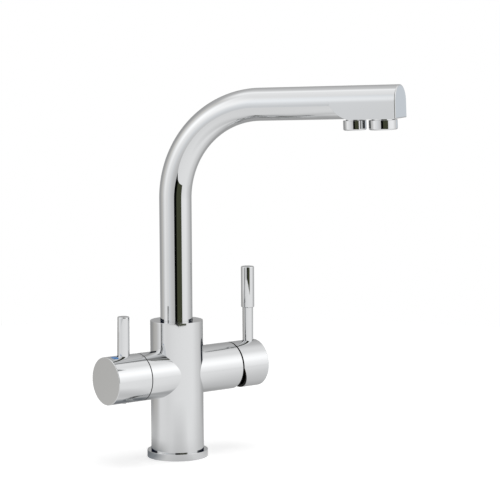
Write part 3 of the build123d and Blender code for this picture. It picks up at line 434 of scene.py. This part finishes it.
piece("mixer_sleeve_plated", leant(sleeve, ROD_REACH, to_the_right, MIXER_LEAN), chrome, "mixer_lever",
      ["mixer_lever_sleeve"])

# Filter handle cap: the same chromed cup on the left arm, with an even rim and a plain flat
# end face. Its set screw holds it on the valve's spindle.
FILTER_CAP_START, FILTER_CAP_END, FILTER_CAP_FLOOR, FILTER_GRUB = 40.9, 74.8, 73.6, 57.0
cup = plated_cup(-1, FILTER_CAP_START, FILTER_CAP_END, FILTER_CAP_FLOOR, FILTER_GRUB)
piece("filter_cap_plated", cup, chrome, "filter_handle", ["filter_handle_cap"])
core = brass_core(-1, FILTER_CAP_START, FILTER_CAP_FLOOR, FILTER_GRUB, web=70.3, hub_mouth=49.5,
                  hub_floor=61.3, drive_radius=4.05)
piece("filter_cap_core", core, stained_brass_painted_dark, "filter_handle")

# Filter lever: a chromed brass pin screwed into the cap, a hair thicker at its foot and eased
# at the top. It too leans a degree forward.
PIN_REACH, PIN_RADIUS, PIN_FOOT_RADIUS, PIN_FOOT_TOP, PIN_TOP = -56.4, 5.1, 5.3, 94.2, 128.2
FILTER_LEAN = 1.1
pin = bmesh.new()
turned(pin, [(ROD_ROOT, 0, 0), (ROD_ROOT, PIN_FOOT_RADIUS, 0), (PIN_FOOT_TOP, PIN_FOOT_RADIUS, 0),
             (PIN_TOP, PIN_RADIUS, 0.8), (PIN_TOP, 0, 0)], UP, (PIN_REACH, 0, 0), ROD_SIDES)
piece("filter_lever_plated", leant(pin, PIN_REACH, (1, 0, 0), FILTER_LEAN), chrome, "filter_handle",
      ["filter_lever"])

# Filter mark: a small disc of blue enamel let into the cap beside the lever, a little in
# front of the crest, glossy and slightly domed. Its blue varies over 2 or 3 mm, as the glass
# ran.
enamel, tree, out = finish("blue_vitreous_enamel")
place = add(tree, "ShaderNodeTexCoord")
flow = add(tree, "ShaderNodeTexNoise", {"Vector": place.outputs["Object"]}, Scale=grains(2.5),
           Detail=2)
blue = add(tree, "ShaderNodeMix", {"Factor": flow.outputs["Fac"], 6: srgb("#0a6cb8"),
           7: srgb("#2189d2")}, data_type="RGBA")
glaze = add(tree, "ShaderNodeBsdfPrincipled", {"Base Color": blue.outputs[2]}, Roughness=0.12, IOR=1.52,
            Coat_Weight=0.6)
tree.links.new(glaze.outputs["BSDF"], out.inputs["Surface"])
MARK_REACH, MARK_RADIUS, MARK_LEAN = 68.0, 3.4, math.radians(11)
MARK_DOME, MARK_RIM, MARK_FLOOR, MARK_ROWS, MARK_SIDES = 0.3, 1.1, 19.2, 8, 64
mark_up = Vector((0, -math.sin(MARK_LEAN), math.cos(MARK_LEAN)))
mark_across = Vector((0, math.cos(MARK_LEAN), math.sin(MARK_LEAN)))
mark_root = Vector((-MARK_REACH, 0, ARM_HEIGHT))
disc = bmesh.new()
rows = []
for ring_step in range(MARK_ROWS + 1):
    share = ring_step / MARK_ROWS
    row = []
    for step in range(MARK_SIDES if ring_step else 1):
        angle = 2 * math.pi * step / MARK_SIDES
        x, y = MARK_RADIUS * share * math.cos(angle), MARK_RADIUS * share * math.sin(angle)
        crest = math.sqrt(ARM_RADIUS**2 - y * y) + MARK_DOME * (1 - share**4)
        spot = mark_root + Vector((x, 0, 0)) + mark_across * y + mark_up * crest
        row.append(disc.verts.new(spot / 1000))
    rows.append(row)
rows.append([disc.verts.new(vert.co - mark_up * (MARK_RIM / 1000)) for vert in rows[-1]])
rows.append([disc.verts.new((mark_root + mark_up * MARK_FLOOR) / 1000)])
skinned(disc, rows, MARK_SIDES)
piece("filter_mark_enamel", disc, enamel, "filter_handle", ["filter_mark"])

# Spout pipe: brass tube bent in one sweep, polished and chromed, flush with the head. It
# climbs two degrees past the bend and is swung 61 degrees to the front right.
PIPE_RADIUS, PIPE_BORE, PIPE_FOOT, BEND_START, BEND_RADIUS = 14.0, 12.6, 118.6, 226.0, 82.8
RISE, SWING = math.radians(2.0), math.radians(-61.07)
HEAD_START, HEAD_END, BEND_STEPS, PIPE_SIDES = 147.3, 206.2, 88, 128
out_along = Vector((math.cos(SWING), math.sin(SWING), 0))
beside = Vector((math.sin(SWING), -math.cos(SWING), 0))
turn_total = math.pi / 2 - RISE
route = [(0, PIPE_FOOT, 0), (0, BEND_START - 1, 0)]
for step in range(BEND_STEPS + 1):
    angle = turn_total * step / BEND_STEPS
    route.append((BEND_RADIUS * (1 - math.cos(angle)), BEND_START + BEND_RADIUS * math.sin(angle), angle))
bend_end = Vector((route[-1][0], route[-1][1]))
run = HEAD_START - bend_end.x / math.cos(RISE)
for length in (1, run):
    route.append((bend_end.x + length * math.cos(RISE), bend_end.y + length * math.sin(RISE), turn_total))
tube = bmesh.new()
skins = []
for radius in (PIPE_RADIUS, PIPE_BORE):
    skin = []
    for reach, height, angle in route:
        inner = out_along * math.cos(angle) - Vector((0, 0, math.sin(angle)))
        middle = out_along * reach + Vector((0, 0, height))
        row = []
        for i in range(PIPE_SIDES):
            turn = 2 * math.pi * i / PIPE_SIDES
            radial = (inner * math.cos(turn) + beside * math.sin(turn)) * radius
            row.append(tube.verts.new((middle + radial) / 1000))
        skin.append(row)
    skins.append(skin)
for skin in skins:
    for low, high in zip(skin, skin[1:]):
        for i in range(PIPE_SIDES):
            tube.faces.new((low[i], low[i - 1], high[i - 1], high[i]))
for end in (0, -1):
    for i in range(PIPE_SIDES):
        tube.faces.new((skins[0][end][i], skins[0][end][i - 1], skins[1][end][i - 1],
                        skins[1][end][i]))
piece("spout_pipe_plated", tube, chrome, "spout", ["spout_tube"])

# Spout head: a brass casting brazed to the pipe. Its top carries the pipe's round on, its
# sides and underside are flat, and a curved heel drops from the pipe to the underside.
ROOT_HEIGHT = bend_end.y - bend_end.x * math.tan(RISE)
head_along = out_along * math.cos(RISE) + Vector((0, 0, math.sin(RISE)))
head_up = Vector((0, 0, math.cos(RISE))) - out_along * math.sin(RISE)
head_root = Vector((0, 0, ROOT_HEIGHT))
HEEL_REACH, HEEL_MIDDLE, HEEL_RADIUS = 16.5, (22.76, 10.10), 24.90
CORNER_EASE, CORNER_STEPS, TOP_STEPS, HEEL_STEPS = 0.25, 5, 64, 24
NOSE_EASE, NOSE_STEPS, ROOT_REACH, ROOT_CLEAR = 0.9, 6, 17, 0.015


def underside(reach):
    """Height of the head's underside over its axis, at a distance past the pipe's end."""
    if reach >= HEEL_REACH:
        return -PIPE_RADIUS
    across = HEEL_MIDDLE[0] - reach
    return HEEL_MIDDLE[1] - math.sqrt(max(HEEL_RADIUS**2 - across**2, 0))


def head_section(reach, inset):
    """Outline of the head across its axis: a half round over flat sides, with eased corners."""
    half = PIPE_RADIUS - inset
    low = min(underside(reach) + inset, -0.01)
    ease = min(CORNER_EASE, -low * 0.9)
    turns = [math.pi * i / TOP_STEPS for i in range(TOP_STEPS + 1)]
    outline = [(half * math.cos(turn), half * math.sin(turn)) for turn in turns]
    side = [(-half, low * 0.5), (-half, low + ease + FLAT_REST)]
    turns = [math.pi / 2 * i / CORNER_STEPS for i in range(CORNER_STEPS + 1)]
    side += [(-half + ease * (1 - math.cos(turn)), low + ease * (1 - math.sin(turn)))
             for turn in turns]
    side += [(-half + ease + FLAT_REST, low), (-half * 0.5, low)]
    outline += side + [(0, low)] + [(-across, up) for across, up in reversed(side)]
    return outline


head = bmesh.new()
turns = [math.pi / 2 * i / HEEL_STEPS for i in range(HEEL_STEPS + 1)]
stations = [(HEEL_REACH * (1 - math.cos(turn)), 0.0) for turn in turns]
length = HEAD_END - HEAD_START
stations += [(HEEL_REACH + 0.1, 0.0), (length - NOSE_EASE - 0.1, 0.0)]
turns = [math.pi / 2 * i / NOSE_STEPS for i in range(NOSE_STEPS + 1)]
stations += [(length - NOSE_EASE * (1 - math.sin(turn)), NOSE_EASE * (1 - math.cos(turn)))
             for turn in turns]
stations += [(length, NOSE_EASE + 0.1)]
rows = []
for reach, inset in stations:
    middle = head_root + head_along * (HEAD_START + reach)
    rows.append([head.verts.new((middle + beside * across + head_up * up) / 1000)
                 for across, up in head_section(reach, inset)])
for low, high in zip(rows, rows[1:]):
    for i in range(len(low)):
        head.faces.new((low[i], low[i - 1], high[i - 1], high[i]))
head.faces.new(rows[0])
head.faces.new(rows[-1])
turned(head, [(HEAD_START, 0, 0), (HEAD_START, PIPE_RADIUS - ROOT_CLEAR, 0),
              (HEAD_START + ROOT_REACH, PIPE_RADIUS - ROOT_CLEAR, 0), (HEAD_START + ROOT_REACH, 0, 0)],
       head_along, head_root, PIPE_SIDES)
piece("spout_head_plated", head, chrome, "spout", ["spout_head"])

# Outlet rings: turned brass, chromed, screwed into the head's underside with a shadow gap of
# a millimetre. The wider one gives mixed water, the narrower one filtered water.
OUTLETS = (("mixed", 190.3, 12.0, 3), ("filter", 165.2, 9.75, 2))
THREAD_TOP, THREAD_STEP, BORE_STEP = -5.5, 2.5, 4.2
SHADOW_GAP, RING_FOOT, LIP_TOP, LIP = 1, 9.25, 8.25, 0.8
for name, reach, radius, _ in OUTLETS:
    foot = head_root + head_along * reach - head_up * PIPE_RADIUS
    thread, bore = radius - THREAD_STEP, radius - BORE_STEP
    ring = bmesh.new()
    turned(ring, [(THREAD_TOP, bore, 0), (THREAD_TOP, thread, 0), (SHADOW_GAP, thread, 0),
                  (SHADOW_GAP, radius, 0.25), (RING_FOOT, radius, 1.2), (RING_FOOT, bore - LIP, 0.2),
                  (LIP_TOP, bore - LIP, 0), (LIP_TOP, bore, 0)], -head_up, foot, PIPE_SIDES)
    piece(f"{name}_ring_plated", ring, chrome, "spout", [f"{name}_outlet_ring"])

# Nozzle inserts: black moulded plastic, pressed into the rings, with rows of fine holes that
# lay the water in a smooth stream. The mould leaves a soft grey sheen, whose grain is drawn
# near a millimetre wide to show at all.
def moulded_acetal(name, colour, width, roughness):
    """Finish of a moulded plastic with the mould's grain, of this width in mm, as a bump."""
    material, tree, out = finish(name)
    place = add(tree, "ShaderNodeTexCoord")
    mould = add(tree, "ShaderNodeTexNoise", {"Vector": place.outputs["Object"]}, Scale=grains(width),
                Detail=2)
    skin = add(tree, "ShaderNodeBump", {"Height": mould.outputs["Fac"]}, Strength=0.2, Distance=0.00005)
    acetal = add(tree, "ShaderNodeBsdfPrincipled", {"Normal": skin.outputs["Normal"]},
                 Base_Color=srgb(colour), Roughness=roughness, IOR=1.48)
    tree.links.new(acetal.outputs["BSDF"], out.inputs["Surface"])
    return material


nozzle = moulded_acetal("moulded_black_acetal", "#2b2c2e", 0.833, 0.38)
dress(nozzle, "mixed_outlet_insert", "filter_outlet_insert")

# Each hole opens through a small raised nub that can be rubbed clean of scale. The nubs stand
# in rings of six, twelve and so on, as the holes do.
nubs = bpy.data.node_groups.new("nozzle_nubs", "GeometryNodeTree")
for name, kind in (("Rows", "Int"), ("Pitch", "Float"), ("Nub Radius", "Float"), ("Nub Wall", "Float"),
                   ("Nub Height", "Float"), ("Material", "Material")):
    nubs.interface.new_socket(name, in_out="INPUT", socket_type="NodeSocket" + kind)
nubs.interface.new_socket("Geometry", in_out="OUTPUT", socket_type="NodeSocketGeometry")
given = add(nubs, "NodeGroupInput")
# The middle nub is number 0, the first ring holds 1 to 6, the second 7 to 18 and so on. Each
# line is one sum that turns a nub's number into its ring, its place in that ring and its spot.
sums = {"rows": given.outputs["Rows"], "pitch": given.outputs["Pitch"],
        "number": add(nubs, "GeometryNodeInputIndex").outputs[0]}
for name, operation, first, second in (
        ("rows and one", "ADD", "rows", 1), ("ring sum", "MULTIPLY", "rows", "rows and one"),
        ("round the middle", "MULTIPLY", "ring sum", 3), ("count", "ADD", "round the middle", 1),
        ("twelvefold", "MULTIPLY", "number", 12), ("under root", "ADD", "twelvefold", 9),
        ("root", "SQRT", "under root", 0), ("root less three", "SUBTRACT", "root", 3),
        ("part ring", "DIVIDE", "root less three", 6), ("a hair less", "SUBTRACT", "part ring", 0.0001),
        ("ring", "CEIL", "a hair less", 0), ("ring before", "SUBTRACT", "ring", 1),
        ("ring pair", "MULTIPLY", "ring", "ring before"), ("first", "MULTIPLY", "ring pair", 3),
        ("sixfold", "MULTIPLY", "ring", 6), ("in the ring", "MAXIMUM", "sixfold", 1),
        ("past the first", "SUBTRACT", "number", "first"),
        ("share", "DIVIDE", "past the first", "in the ring"),
        ("angle", "MULTIPLY", "share", 2 * math.pi), ("reach", "MULTIPLY", "ring", "pitch"),
        ("cosine", "COSINE", "angle", 0), ("x", "MULTIPLY", "reach", "cosine"),
        ("sine", "SINE", "angle", 0), ("y", "MULTIPLY", "reach", "sine")):
    made = add(nubs, "ShaderNodeMath", {0: sums.get(first, first), 1: sums.get(second, second)},
               operation=operation)
    sums[name] = made.outputs[0]
spot = add(nubs, "ShaderNodeCombineXYZ", {"X": sums["x"], "Y": sums["y"]})
points = add(nubs, "GeometryNodePoints", {"Count": sums["count"], "Position": spot.outputs[0]})
path = add(nubs, "GeometryNodeCurvePrimitiveCircle", {"Radius": given.outputs["Nub Radius"]},
           Resolution=18)
wall = add(nubs, "GeometryNodeCurvePrimitiveQuadrilateral", {"Width": given.outputs["Nub Height"],
           "Height": given.outputs["Nub Wall"]})
nub = add(nubs, "GeometryNodeCurveToMesh", {"Curve": path.outputs[0], "Profile Curve": wall.outputs[0]})
placed = add(nubs, "GeometryNodeInstanceOnPoints", {"Points": points.outputs[0],
             "Instance": nub.outputs[0]})
real = add(nubs, "GeometryNodeRealizeInstances", {"Geometry": placed.outputs[0]})
coated = add(nubs, "GeometryNodeSetMaterial", {"Geometry": real.outputs[0],
             "Material": given.outputs["Material"]})
add(nubs, "NodeGroupOutput", {"Geometry": coated.outputs[0]})
for name, reach, _, rows in OUTLETS:
    host = bpy.data.objects.new(f"{name}_nubs", bpy.data.meshes.new("blank"))
    bpy.context.scene.collection.objects.link(host)
    grow = host.modifiers.new("nubs", "NODES")
    grow.node_group = nubs
    sizes = {"Rows": rows, "Pitch": 0.0019, "Nub Radius": 0.00072, "Nub Wall": 0.00034,
             "Nub Height": 0.0013, "Material": nozzle}
    for socket in nubs.interface.items_tree:
        if socket.in_out == "INPUT":
            grow[socket.identifier] = sizes[socket.name]
    grown = bpy.data.meshes.new_from_object(host.evaluated_get(bpy.context.evaluated_depsgraph_get()))
    host.modifiers.remove(grow)
    bpy.data.objects.remove(host)
    face = (head_root + head_along * reach - head_up * (PIPE_RADIUS + LIP_TOP)) / 1000
    down_across = (-head_up).cross(head_along)
    turn = Matrix((head_along, down_across, -head_up)).transposed().to_4x4()
    grown.transform(Matrix.Translation(face) @ turn)
    standing = bmesh.new()
    standing.from_mesh(grown)
    piece(f"{name}_outlet_nubs", standing, nozzle, "spout")

# Cartridge, bushes and water tube: pale moulded plastic, satin, inside the mixer arm, round
# the ferrule and in the spout. The mould's grain is drawn a millimetre wide, because a real
# one is too fine to show.
plastic = moulded_acetal("moulded_white_acetal", "#d9d8d2", 1.11, 0.42)
dress(plastic, "cartridge_base", "cartridge_case", "cartridge_turret", "disc_carrier", "spout_bushes",
      "filter_water_tube")

# Ceramic discs: two lapped pairs, in the cartridge and in the valve, of polished alumina, off
# white and glossy. Its flecks are drawn two thirds of a millimetre wide, larger than they are.
ceramic = worked("polished_alumina", "#ecebe4", 0.667, 0.1, 0.2, IOR=1.76)
dress(ceramic, "fixed_disc", "moving_disc", "filter_fixed_disc", "filter_turning_disc")

# Brass parts inside: the cartridge's nut and the spout's ferrule are bare, and the
# quarter-turn valve, which can be seen through the handle's gap, has the bores' dull,
# near-black finish, painted shade there too.
dress(brass, "cartridge_nut", "spout_ferrule")
dress(stained_brass_painted_dark, "filter_valve_body", "filter_spindle")

# Steel parts: the stainless set screws, the cartridge's spindle and its cross pin, machined
# to a satin face. The cuts are drawn over a millimetre wide, coarser than they are.
steel = worked("machined_stainless_steel", "#b9b8b5", 1.25, 0.2, 0.32, Metallic=1)
dress(steel, "spout_lock_screw", "mixer_grub_screw", "filter_grub_screw", "mixer_spindle", "tilt_pin")

# Table: a round white board under the tap. To the lens it is white with the tap's soft
# shadow, and from below it is clear. The chrome sees a painted glow on it: painted light at
# the front and right, painted dimness behind, and a painted shadow near the foot on the left.
TABLE_RADIUS, TABLE_SIDES, TABLE_DROP, LENS_LIFT, FULL = 0.82, 128, -1e-4, 0.5, 1.25
board = bmesh.new()
rows = []
for radius in (0, 0.05, 0.1, 0.2, 0.4, TABLE_RADIUS):
    row = []
    for i in range(TABLE_SIDES if radius else 1):
        turn = 2 * math.pi * i / TABLE_SIDES
        row.append(board.verts.new((radius * math.cos(turn), radius * math.sin(turn), TABLE_DROP)))
    rows.append(row)
skinned(board, rows, TABLE_SIDES)
for face in board.faces:
    face.normal_update()
    if face.normal.z < 0:
        face.normal_flip()
table = set_out("table", board)
table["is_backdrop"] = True


def levelled(made, full, places):
    """Gives a colour ramp its stops, as (position, level or three levels), in shares of full."""
    ramp = made.color_ramp
    ramp.elements.remove(ramp.elements[0])
    for i, (position, level) in enumerate(places):
        stop = ramp.elements[0] if i == 0 else ramp.elements.new(position)
        stop.position = position
        levels = (level, level, level) if isinstance(level, float) else level
        stop.color = [value / full for value in levels] + [1]
    return made.outputs["Color"]


def turned_to_lens(tree):
    """Share of a full turn round the tap, 0.5 towards the lens and growing to its right."""
    place = add(tree, "ShaderNodeTexCoord")
    bearing = math.atan2(-towards_tap.y, -towards_tap.x)
    facing = add(tree, "ShaderNodeMapping", {"Vector": place.outputs["Object"],
                 "Rotation": (0, 0, -bearing)})
    share = add(tree, "ShaderNodeTexGradient", {"Vector": facing.outputs["Vector"]},
                gradient_type="RADIAL")
    return share.outputs["Fac"]


def by_bearing(*places):
    """Ramp places from bearings right of the lens, in degrees."""
    return [(0.5 + degrees / 360, level) for degrees, level in places]


white, tree, out = finish("white_table_board")
place = add(tree, "ShaderNodeTexCoord")
away = add(tree, "ShaderNodeVectorMath", {0: place.outputs["Object"]}, operation="LENGTH")
share = add(tree, "ShaderNodeMapRange", {"Value": away.outputs["Value"]}, From_Max=TABLE_RADIUS)
# Painted light by bearing, far out and close in, as the chrome sees the board.
around = levelled(add(tree, "ShaderNodeValToRGB", {"Fac": turned_to_lens(tree)}), FULL, by_bearing(
    (-180, 0.42), (-142, 0.36), (-130, 0.40), (-120, (0.49, 0.48, 0.46)), (-108, (0.60, 0.59, 0.57)),
    (-94, (0.67, 0.66, 0.64)), (-83, 0.82), (-76, 0.97), (-60, 0.98), (-38, 0.94), (-15, 1.0),
    (0, 1.03), (30, 1.06), (70, 1.08), (82, 1.03), (96, 0.92), (108, 0.86), (120, 0.74), (132, 0.58),
    (146, 0.46), (180, 0.42)))
close = levelled(add(tree, "ShaderNodeValToRGB", {"Fac": turned_to_lens(tree)}), FULL, by_bearing(
    (-180, 0.48), (-160, 0.52), (-144, 0.64), (-108, 0.66), (-96, 0.69), (-84, 0.81), (-72, 0.96),
    (-58, 0.97), (-36, 0.94), (-20, 0.93), (-10, 0.88), (0, 0.85), (15, 0.85), (26, 0.90), (36, 0.97),
    (46, 1.07), (60, 1.06), (72, 1.02), (84, 0.94), (96, 0.86), (108, 0.79), (120, 0.73), (132, 0.62),
    (146, 0.50), (180, 0.48)))
# Painted shadow round the foot: darker close in, lightly on the open side and deeply on the left.
painted_foot_shade_open = levelled(add(tree, "ShaderNodeValToRGB", {"Fac": share.outputs["Result"]}), 1.0, [
    (0.0, 0.76), (0.07, 0.88), (0.14, 0.98), (0.2, 1.0)])
painted_foot_shadow = levelled(add(tree, "ShaderNodeValToRGB", {"Fac": share.outputs["Result"]}), 1.0, [
    (0.0, (0.26, 0.28, 0.30)), (0.053, (0.32, 0.34, 0.36)), (0.08, 0.62), (0.13, 0.96), (0.17, 1.0)])
painted_shadow_sector = levelled(add(tree, "ShaderNodeValToRGB", {"Fac": turned_to_lens(tree)}), 1.0, by_bearing(
    (-180, 1.0), (-64, 1.0), (-28, 0.0), (150, 0.0), (180, 1.0)))
foot = add(tree, "ShaderNodeMix", {"Factor": painted_shadow_sector, 6: painted_foot_shade_open, 7: painted_foot_shadow}, data_type="RGBA")
apart = add(tree, "ShaderNodeMapRange", {"Value": share.outputs["Result"]}, From_Min=0.16, From_Max=0.38)
spread = add(tree, "ShaderNodeMix", {"Factor": apart.outputs["Result"], 6: close, 7: around},
             data_type="RGBA")
painted_light_and_shade = add(tree, "ShaderNodeMix", {"Factor": 1, 6: spread.outputs[2], 7: foot.outputs[2]},
          data_type="RGBA", blend_type="MULTIPLY")
mirrored = add(tree, "ShaderNodeEmission", {"Color": painted_light_and_shade.outputs[2]}, Strength=FULL)
path = add(tree, "ShaderNodeLightPath")
lift = add(tree, "ShaderNodeMath", {0: path.outputs["Is Camera Ray"], 1: LENS_LIFT}, operation="MULTIPLY")
board_face = add(tree, "ShaderNodeBsdfDiffuse", Color=srgb("#ececec"))
glow = add(tree, "ShaderNodeEmission", {"Strength": lift.outputs[0]}, Color=(1, 1, 1, 1))
both = add(tree, "ShaderNodeAddShader", {0: board_face.outputs[0], 1: glow.outputs[0]})
sort = add(tree, "ShaderNodeMixShader", {0: path.outputs["Is Glossy Ray"], 1: both.outputs[0],
           2: mirrored.outputs[0]})
back = add(tree, "ShaderNodeNewGeometry")
clear = add(tree, "ShaderNodeBsdfTransparent")
one_sided = add(tree, "ShaderNodeMixShader", {0: back.outputs["Backfacing"], 1: sort.outputs[0],
                2: clear.outputs[0]})
tree.links.new(one_sided.outputs[0], out.inputs["Surface"])
table.data.materials.append(white)

# Light tent: white cloth round the table, seen only in the chrome. Its glow is painted light:
# brightest some 25 degrees up, as if lamps stood behind it, and a painted grey behind the tap.
TENT_RADIUS, TENT_SIDES, TENT_ROWS, TENT_FOOT, LOWEST = 2.6, 96, 24, -14, -0.3
tent = bmesh.new()
rows = []
for height_step in range(TENT_ROWS + 1):
    rise = math.radians(TENT_FOOT + (90 - TENT_FOOT) * height_step / TENT_ROWS)
    level, height = TENT_RADIUS * math.cos(rise), TENT_RADIUS * math.sin(rise)
    turns = [2 * math.pi * i / TENT_SIDES for i in range(TENT_SIDES if height_step < TENT_ROWS else 1)]
    rows.append([tent.verts.new((level * math.cos(turn), level * math.sin(turn), height))
                 for turn in turns])
skinned(tent, rows, TENT_SIDES)
cloth = set_out("light_tent", tent)
cloth.data.shade_smooth()
cloth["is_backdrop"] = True


def only_in_reflections(thing):
    """Keeps a stage object out of the picture and its light off the tap."""
    thing.visible_camera = thing.visible_diffuse = thing.visible_shadow = False
    thing.visible_transmission = thing.visible_volume_scatter = False


def by_height(*places):
    """Ramp places from angles over the table, in degrees."""
    heights = [(math.sin(math.radians(degrees)), level) for degrees, level in places]
    return [((height - LOWEST) / (1 - LOWEST), level) for height, level in heights]


only_in_reflections(cloth)
fabric, tree, out = finish("tent_cloth_painted_glow")
BRIGHTEST = 1.6
turn_share = turned_to_lens(tree)
around = levelled(add(tree, "ShaderNodeValToRGB", {"Fac": turn_share}), FULL, by_bearing(
    (-180, 0.45), (-140, 0.42), (-122, 0.50), (-108, (0.67, 0.655, 0.62)), (-96, 0.74), (-88, 0.92),
    (-78, 1.08), (-66, 0.97), (-54, 0.93), (-46, (0.85, 0.87, 0.89)), (-36, 0.80), (-24, 0.70),
    (-10, 0.62), (44, 0.96), (52, 1.04), (76, 1.08), (88, 0.99), (98, 0.87), (108, 0.80), (120, 0.70),
    (132, 0.57), (146, 0.48), (180, 0.45)))
place = add(tree, "ShaderNodeTexCoord")
unit = add(tree, "ShaderNodeVectorMath", {0: place.outputs["Object"]}, operation="NORMALIZE")
split = add(tree, "ShaderNodeSeparateXYZ", {"Vector": unit.outputs[0]})
rise = add(tree, "ShaderNodeMapRange", {"Value": split.outputs["Z"]}, From_Min=LOWEST, From_Max=1.0)
overhead = levelled(add(tree, "ShaderNodeValToRGB", {"Fac": turn_share}), FULL, by_bearing(
    (-180, 0.48), (-162, 0.49), (-146, 0.58), (-132, 0.74), (-118, 0.97), (-96, 1.03), (-80, 1.01),
    (-50, 0.97), (-38, 0.90), (-28, 0.35), (-10, 0.25), (20, 0.30), (40, 0.70), (55, 1.0), (90, 0.95),
    (102, 0.91), (114, 0.86), (126, 0.76), (138, 0.66), (150, 0.56), (180, 0.48)))
high = add(tree, "ShaderNodeMapRange", {"Value": split.outputs["Z"]}, From_Min=0.74, From_Max=0.87)
around = add(tree, "ShaderNodeMix", {"Factor": high.outputs["Result"], 6: around, 7: overhead},
             data_type="RGBA")
# Painted light: a bright band some 25 degrees up in front, and a brighter top behind the tap.
front = levelled(add(tree, "ShaderNodeValToRGB", {"Fac": rise.outputs["Result"]}), BRIGHTEST, by_height(
    (-14, 1.0), (-3, 1.02), (2, 1.10), (8, 1.16), (14, 1.24), (20, 1.36), (27, 1.43), (34, 1.38),
    (42, 1.28), (50, 1.15), (58, 1.10), (90, 1.15)))
back = levelled(add(tree, "ShaderNodeValToRGB", {"Fac": rise.outputs["Result"]}), BRIGHTEST, by_height(
    (-14, 1.0), (24, 1.0), (36, 1.20), (44, 1.38), (60, 1.55), (90, 1.6)))
behind = levelled(add(tree, "ShaderNodeValToRGB", {"Fac": turn_share}), 1.0, by_bearing(
    (-180, 1.0), (-140, 1.0), (-95, 0.0), (90, 0.0), (140, 1.0), (180, 1.0)))
upward = add(tree, "ShaderNodeMix", {"Factor": behind, 6: front, 7: back}, data_type="RGBA")
painted_light_and_shade = add(tree, "ShaderNodeMix", {"Factor": 1, 6: around.outputs[2], 7: upward.outputs[2]},
          data_type="RGBA", blend_type="MULTIPLY")
glow = add(tree, "ShaderNodeEmission", {"Color": painted_light_and_shade.outputs[2]}, Strength=FULL * BRIGHTEST)
tree.links.new(glow.outputs[0], out.inputs["Surface"])
cloth.data.materials.append(fabric)

# Openings and panels in the tent, seen only in the chrome. Round the lens it is open, black
# and olive, which the pipe shows as a dark strip, and a pale panel lights the head's end.
# Behind, dark blue cards are painted reflections, which show only where one mirror looks into another.
CARD_STEPS = 8
# Each has its bearings at both ends, its distance and lower edge at both, its top, its colour
# and the number of mirrors after which it shows.
for name, start, end, away, foot, top, colour, mirrors in (
        ("opening_dark", -8.0, 9.3, (0.80, 0.80), (0.004, 0.001), 1.2, "#090a08", 1),
        ("opening_olive", 9.3, 44.5, (0.80, 0.65), (0.001, 0.0243), 1.1, "#4b4e3c", 1),
        ("side_panel", 118, 144, (2.3, 2.3), (0.05, 0.05), 0.37, "#e2e8ee", 1),
        ("painted_reflection_left", -172, -98, (2.3, 2.3), (0.10, 0.10), 1.7, "#161d2c", 2),
        ("painted_reflection_right", 98, 172, (2.3, 2.3), (0.10, 0.10), 1.0, "#161d2c", 2)):
    flap = bmesh.new()
    low_row, high_row = [], []
    for step in range(CARD_STEPS + 1):
        share = step / CARD_STEPS
        angle = math.radians(start + (end - start) * share)
        spot = to_the_right * math.sin(angle) - towards_tap * math.cos(angle)
        spot *= away[0] + (away[1] - away[0]) * share
        low_row.append(flap.verts.new((spot.x, spot.y, foot[0] + (foot[1] - foot[0]) * share)))
        high_row.append(flap.verts.new((spot.x, spot.y, top)))
    for i in range(CARD_STEPS):
        flap.faces.new((low_row[i], low_row[i + 1], high_row[i + 1], high_row[i]))
    card = set_out(name, flap)
    card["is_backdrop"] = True
    only_in_reflections(card)
    paint, tree, out = finish(name)
    glow = add(tree, "ShaderNodeEmission", Color=srgb(colour), Strength=1)
    path = add(tree, "ShaderNodeLightPath")
    # The dark blue cards, which show only after two mirrors, are painted reflections.
    deep = add(tree, "ShaderNodeMath", {0: path.outputs["Glossy Depth"], 1: mirrors - 0.5},
               operation="GREATER_THAN")
    clear = add(tree, "ShaderNodeBsdfTransparent")
    shown = add(tree, "ShaderNodeMixShader", {0: deep.outputs[0], 1: clear.outputs[0], 2: glow.outputs[0]})
    tree.links.new(shown.outputs[0], out.inputs["Surface"])
    card.data.materials.append(paint)

# Lamps: one broad soft lamp overhead and a weaker one from the front right, aimed at the
# column and kept out of the chrome. The sky is white to the lens and lights the rest dimly.
LAMP_AIM = Vector((0, 0, 0.1))
for name, spot, size, power in (("lamp_above", (0.1, -0.15, 1.5), 1.4, 9),
                                ("lamp_front", (0.9, -1.1, 0.9), 1.0, 3)):
    lamp_data = bpy.data.lights.new(name, "AREA")
    lamp_data.shape = "DISK"
    lamp_data.size = size
    lamp_data.energy = power
    lamp = bpy.data.objects.new(name, lamp_data)
    bpy.context.scene.collection.objects.link(lamp)
    aim = (LAMP_AIM - Vector(spot)).to_track_quat("-Z", "Y")
    lamp.matrix_world = Matrix.Translation(spot) @ aim.to_matrix().to_4x4()
    lamp.visible_glossy = False
world = bpy.data.worlds.new("studio")
bpy.context.scene.world = world
world.use_nodes = True
tree = world.node_tree
tree.nodes.clear()
path = add(tree, "ShaderNodeLightPath")
seen = path.outputs["Is Camera Ray"]
for kind in ("Is Glossy Ray", "Is Transmission Ray"):
    seen = add(tree, "ShaderNodeMath", {0: seen, 1: path.outputs[kind]}, operation="MAXIMUM").outputs[0]
level = add(tree, "ShaderNodeMapRange", {"Value": seen}, To_Min=0.38, To_Max=1.0)
sky = add(tree, "ShaderNodeBackground", {"Strength": level.outputs["Result"]}, Color=(1, 1, 1, 1))
add(tree, "ShaderNodeOutputWorld", {"Surface": sky.outputs[0]})

low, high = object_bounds()
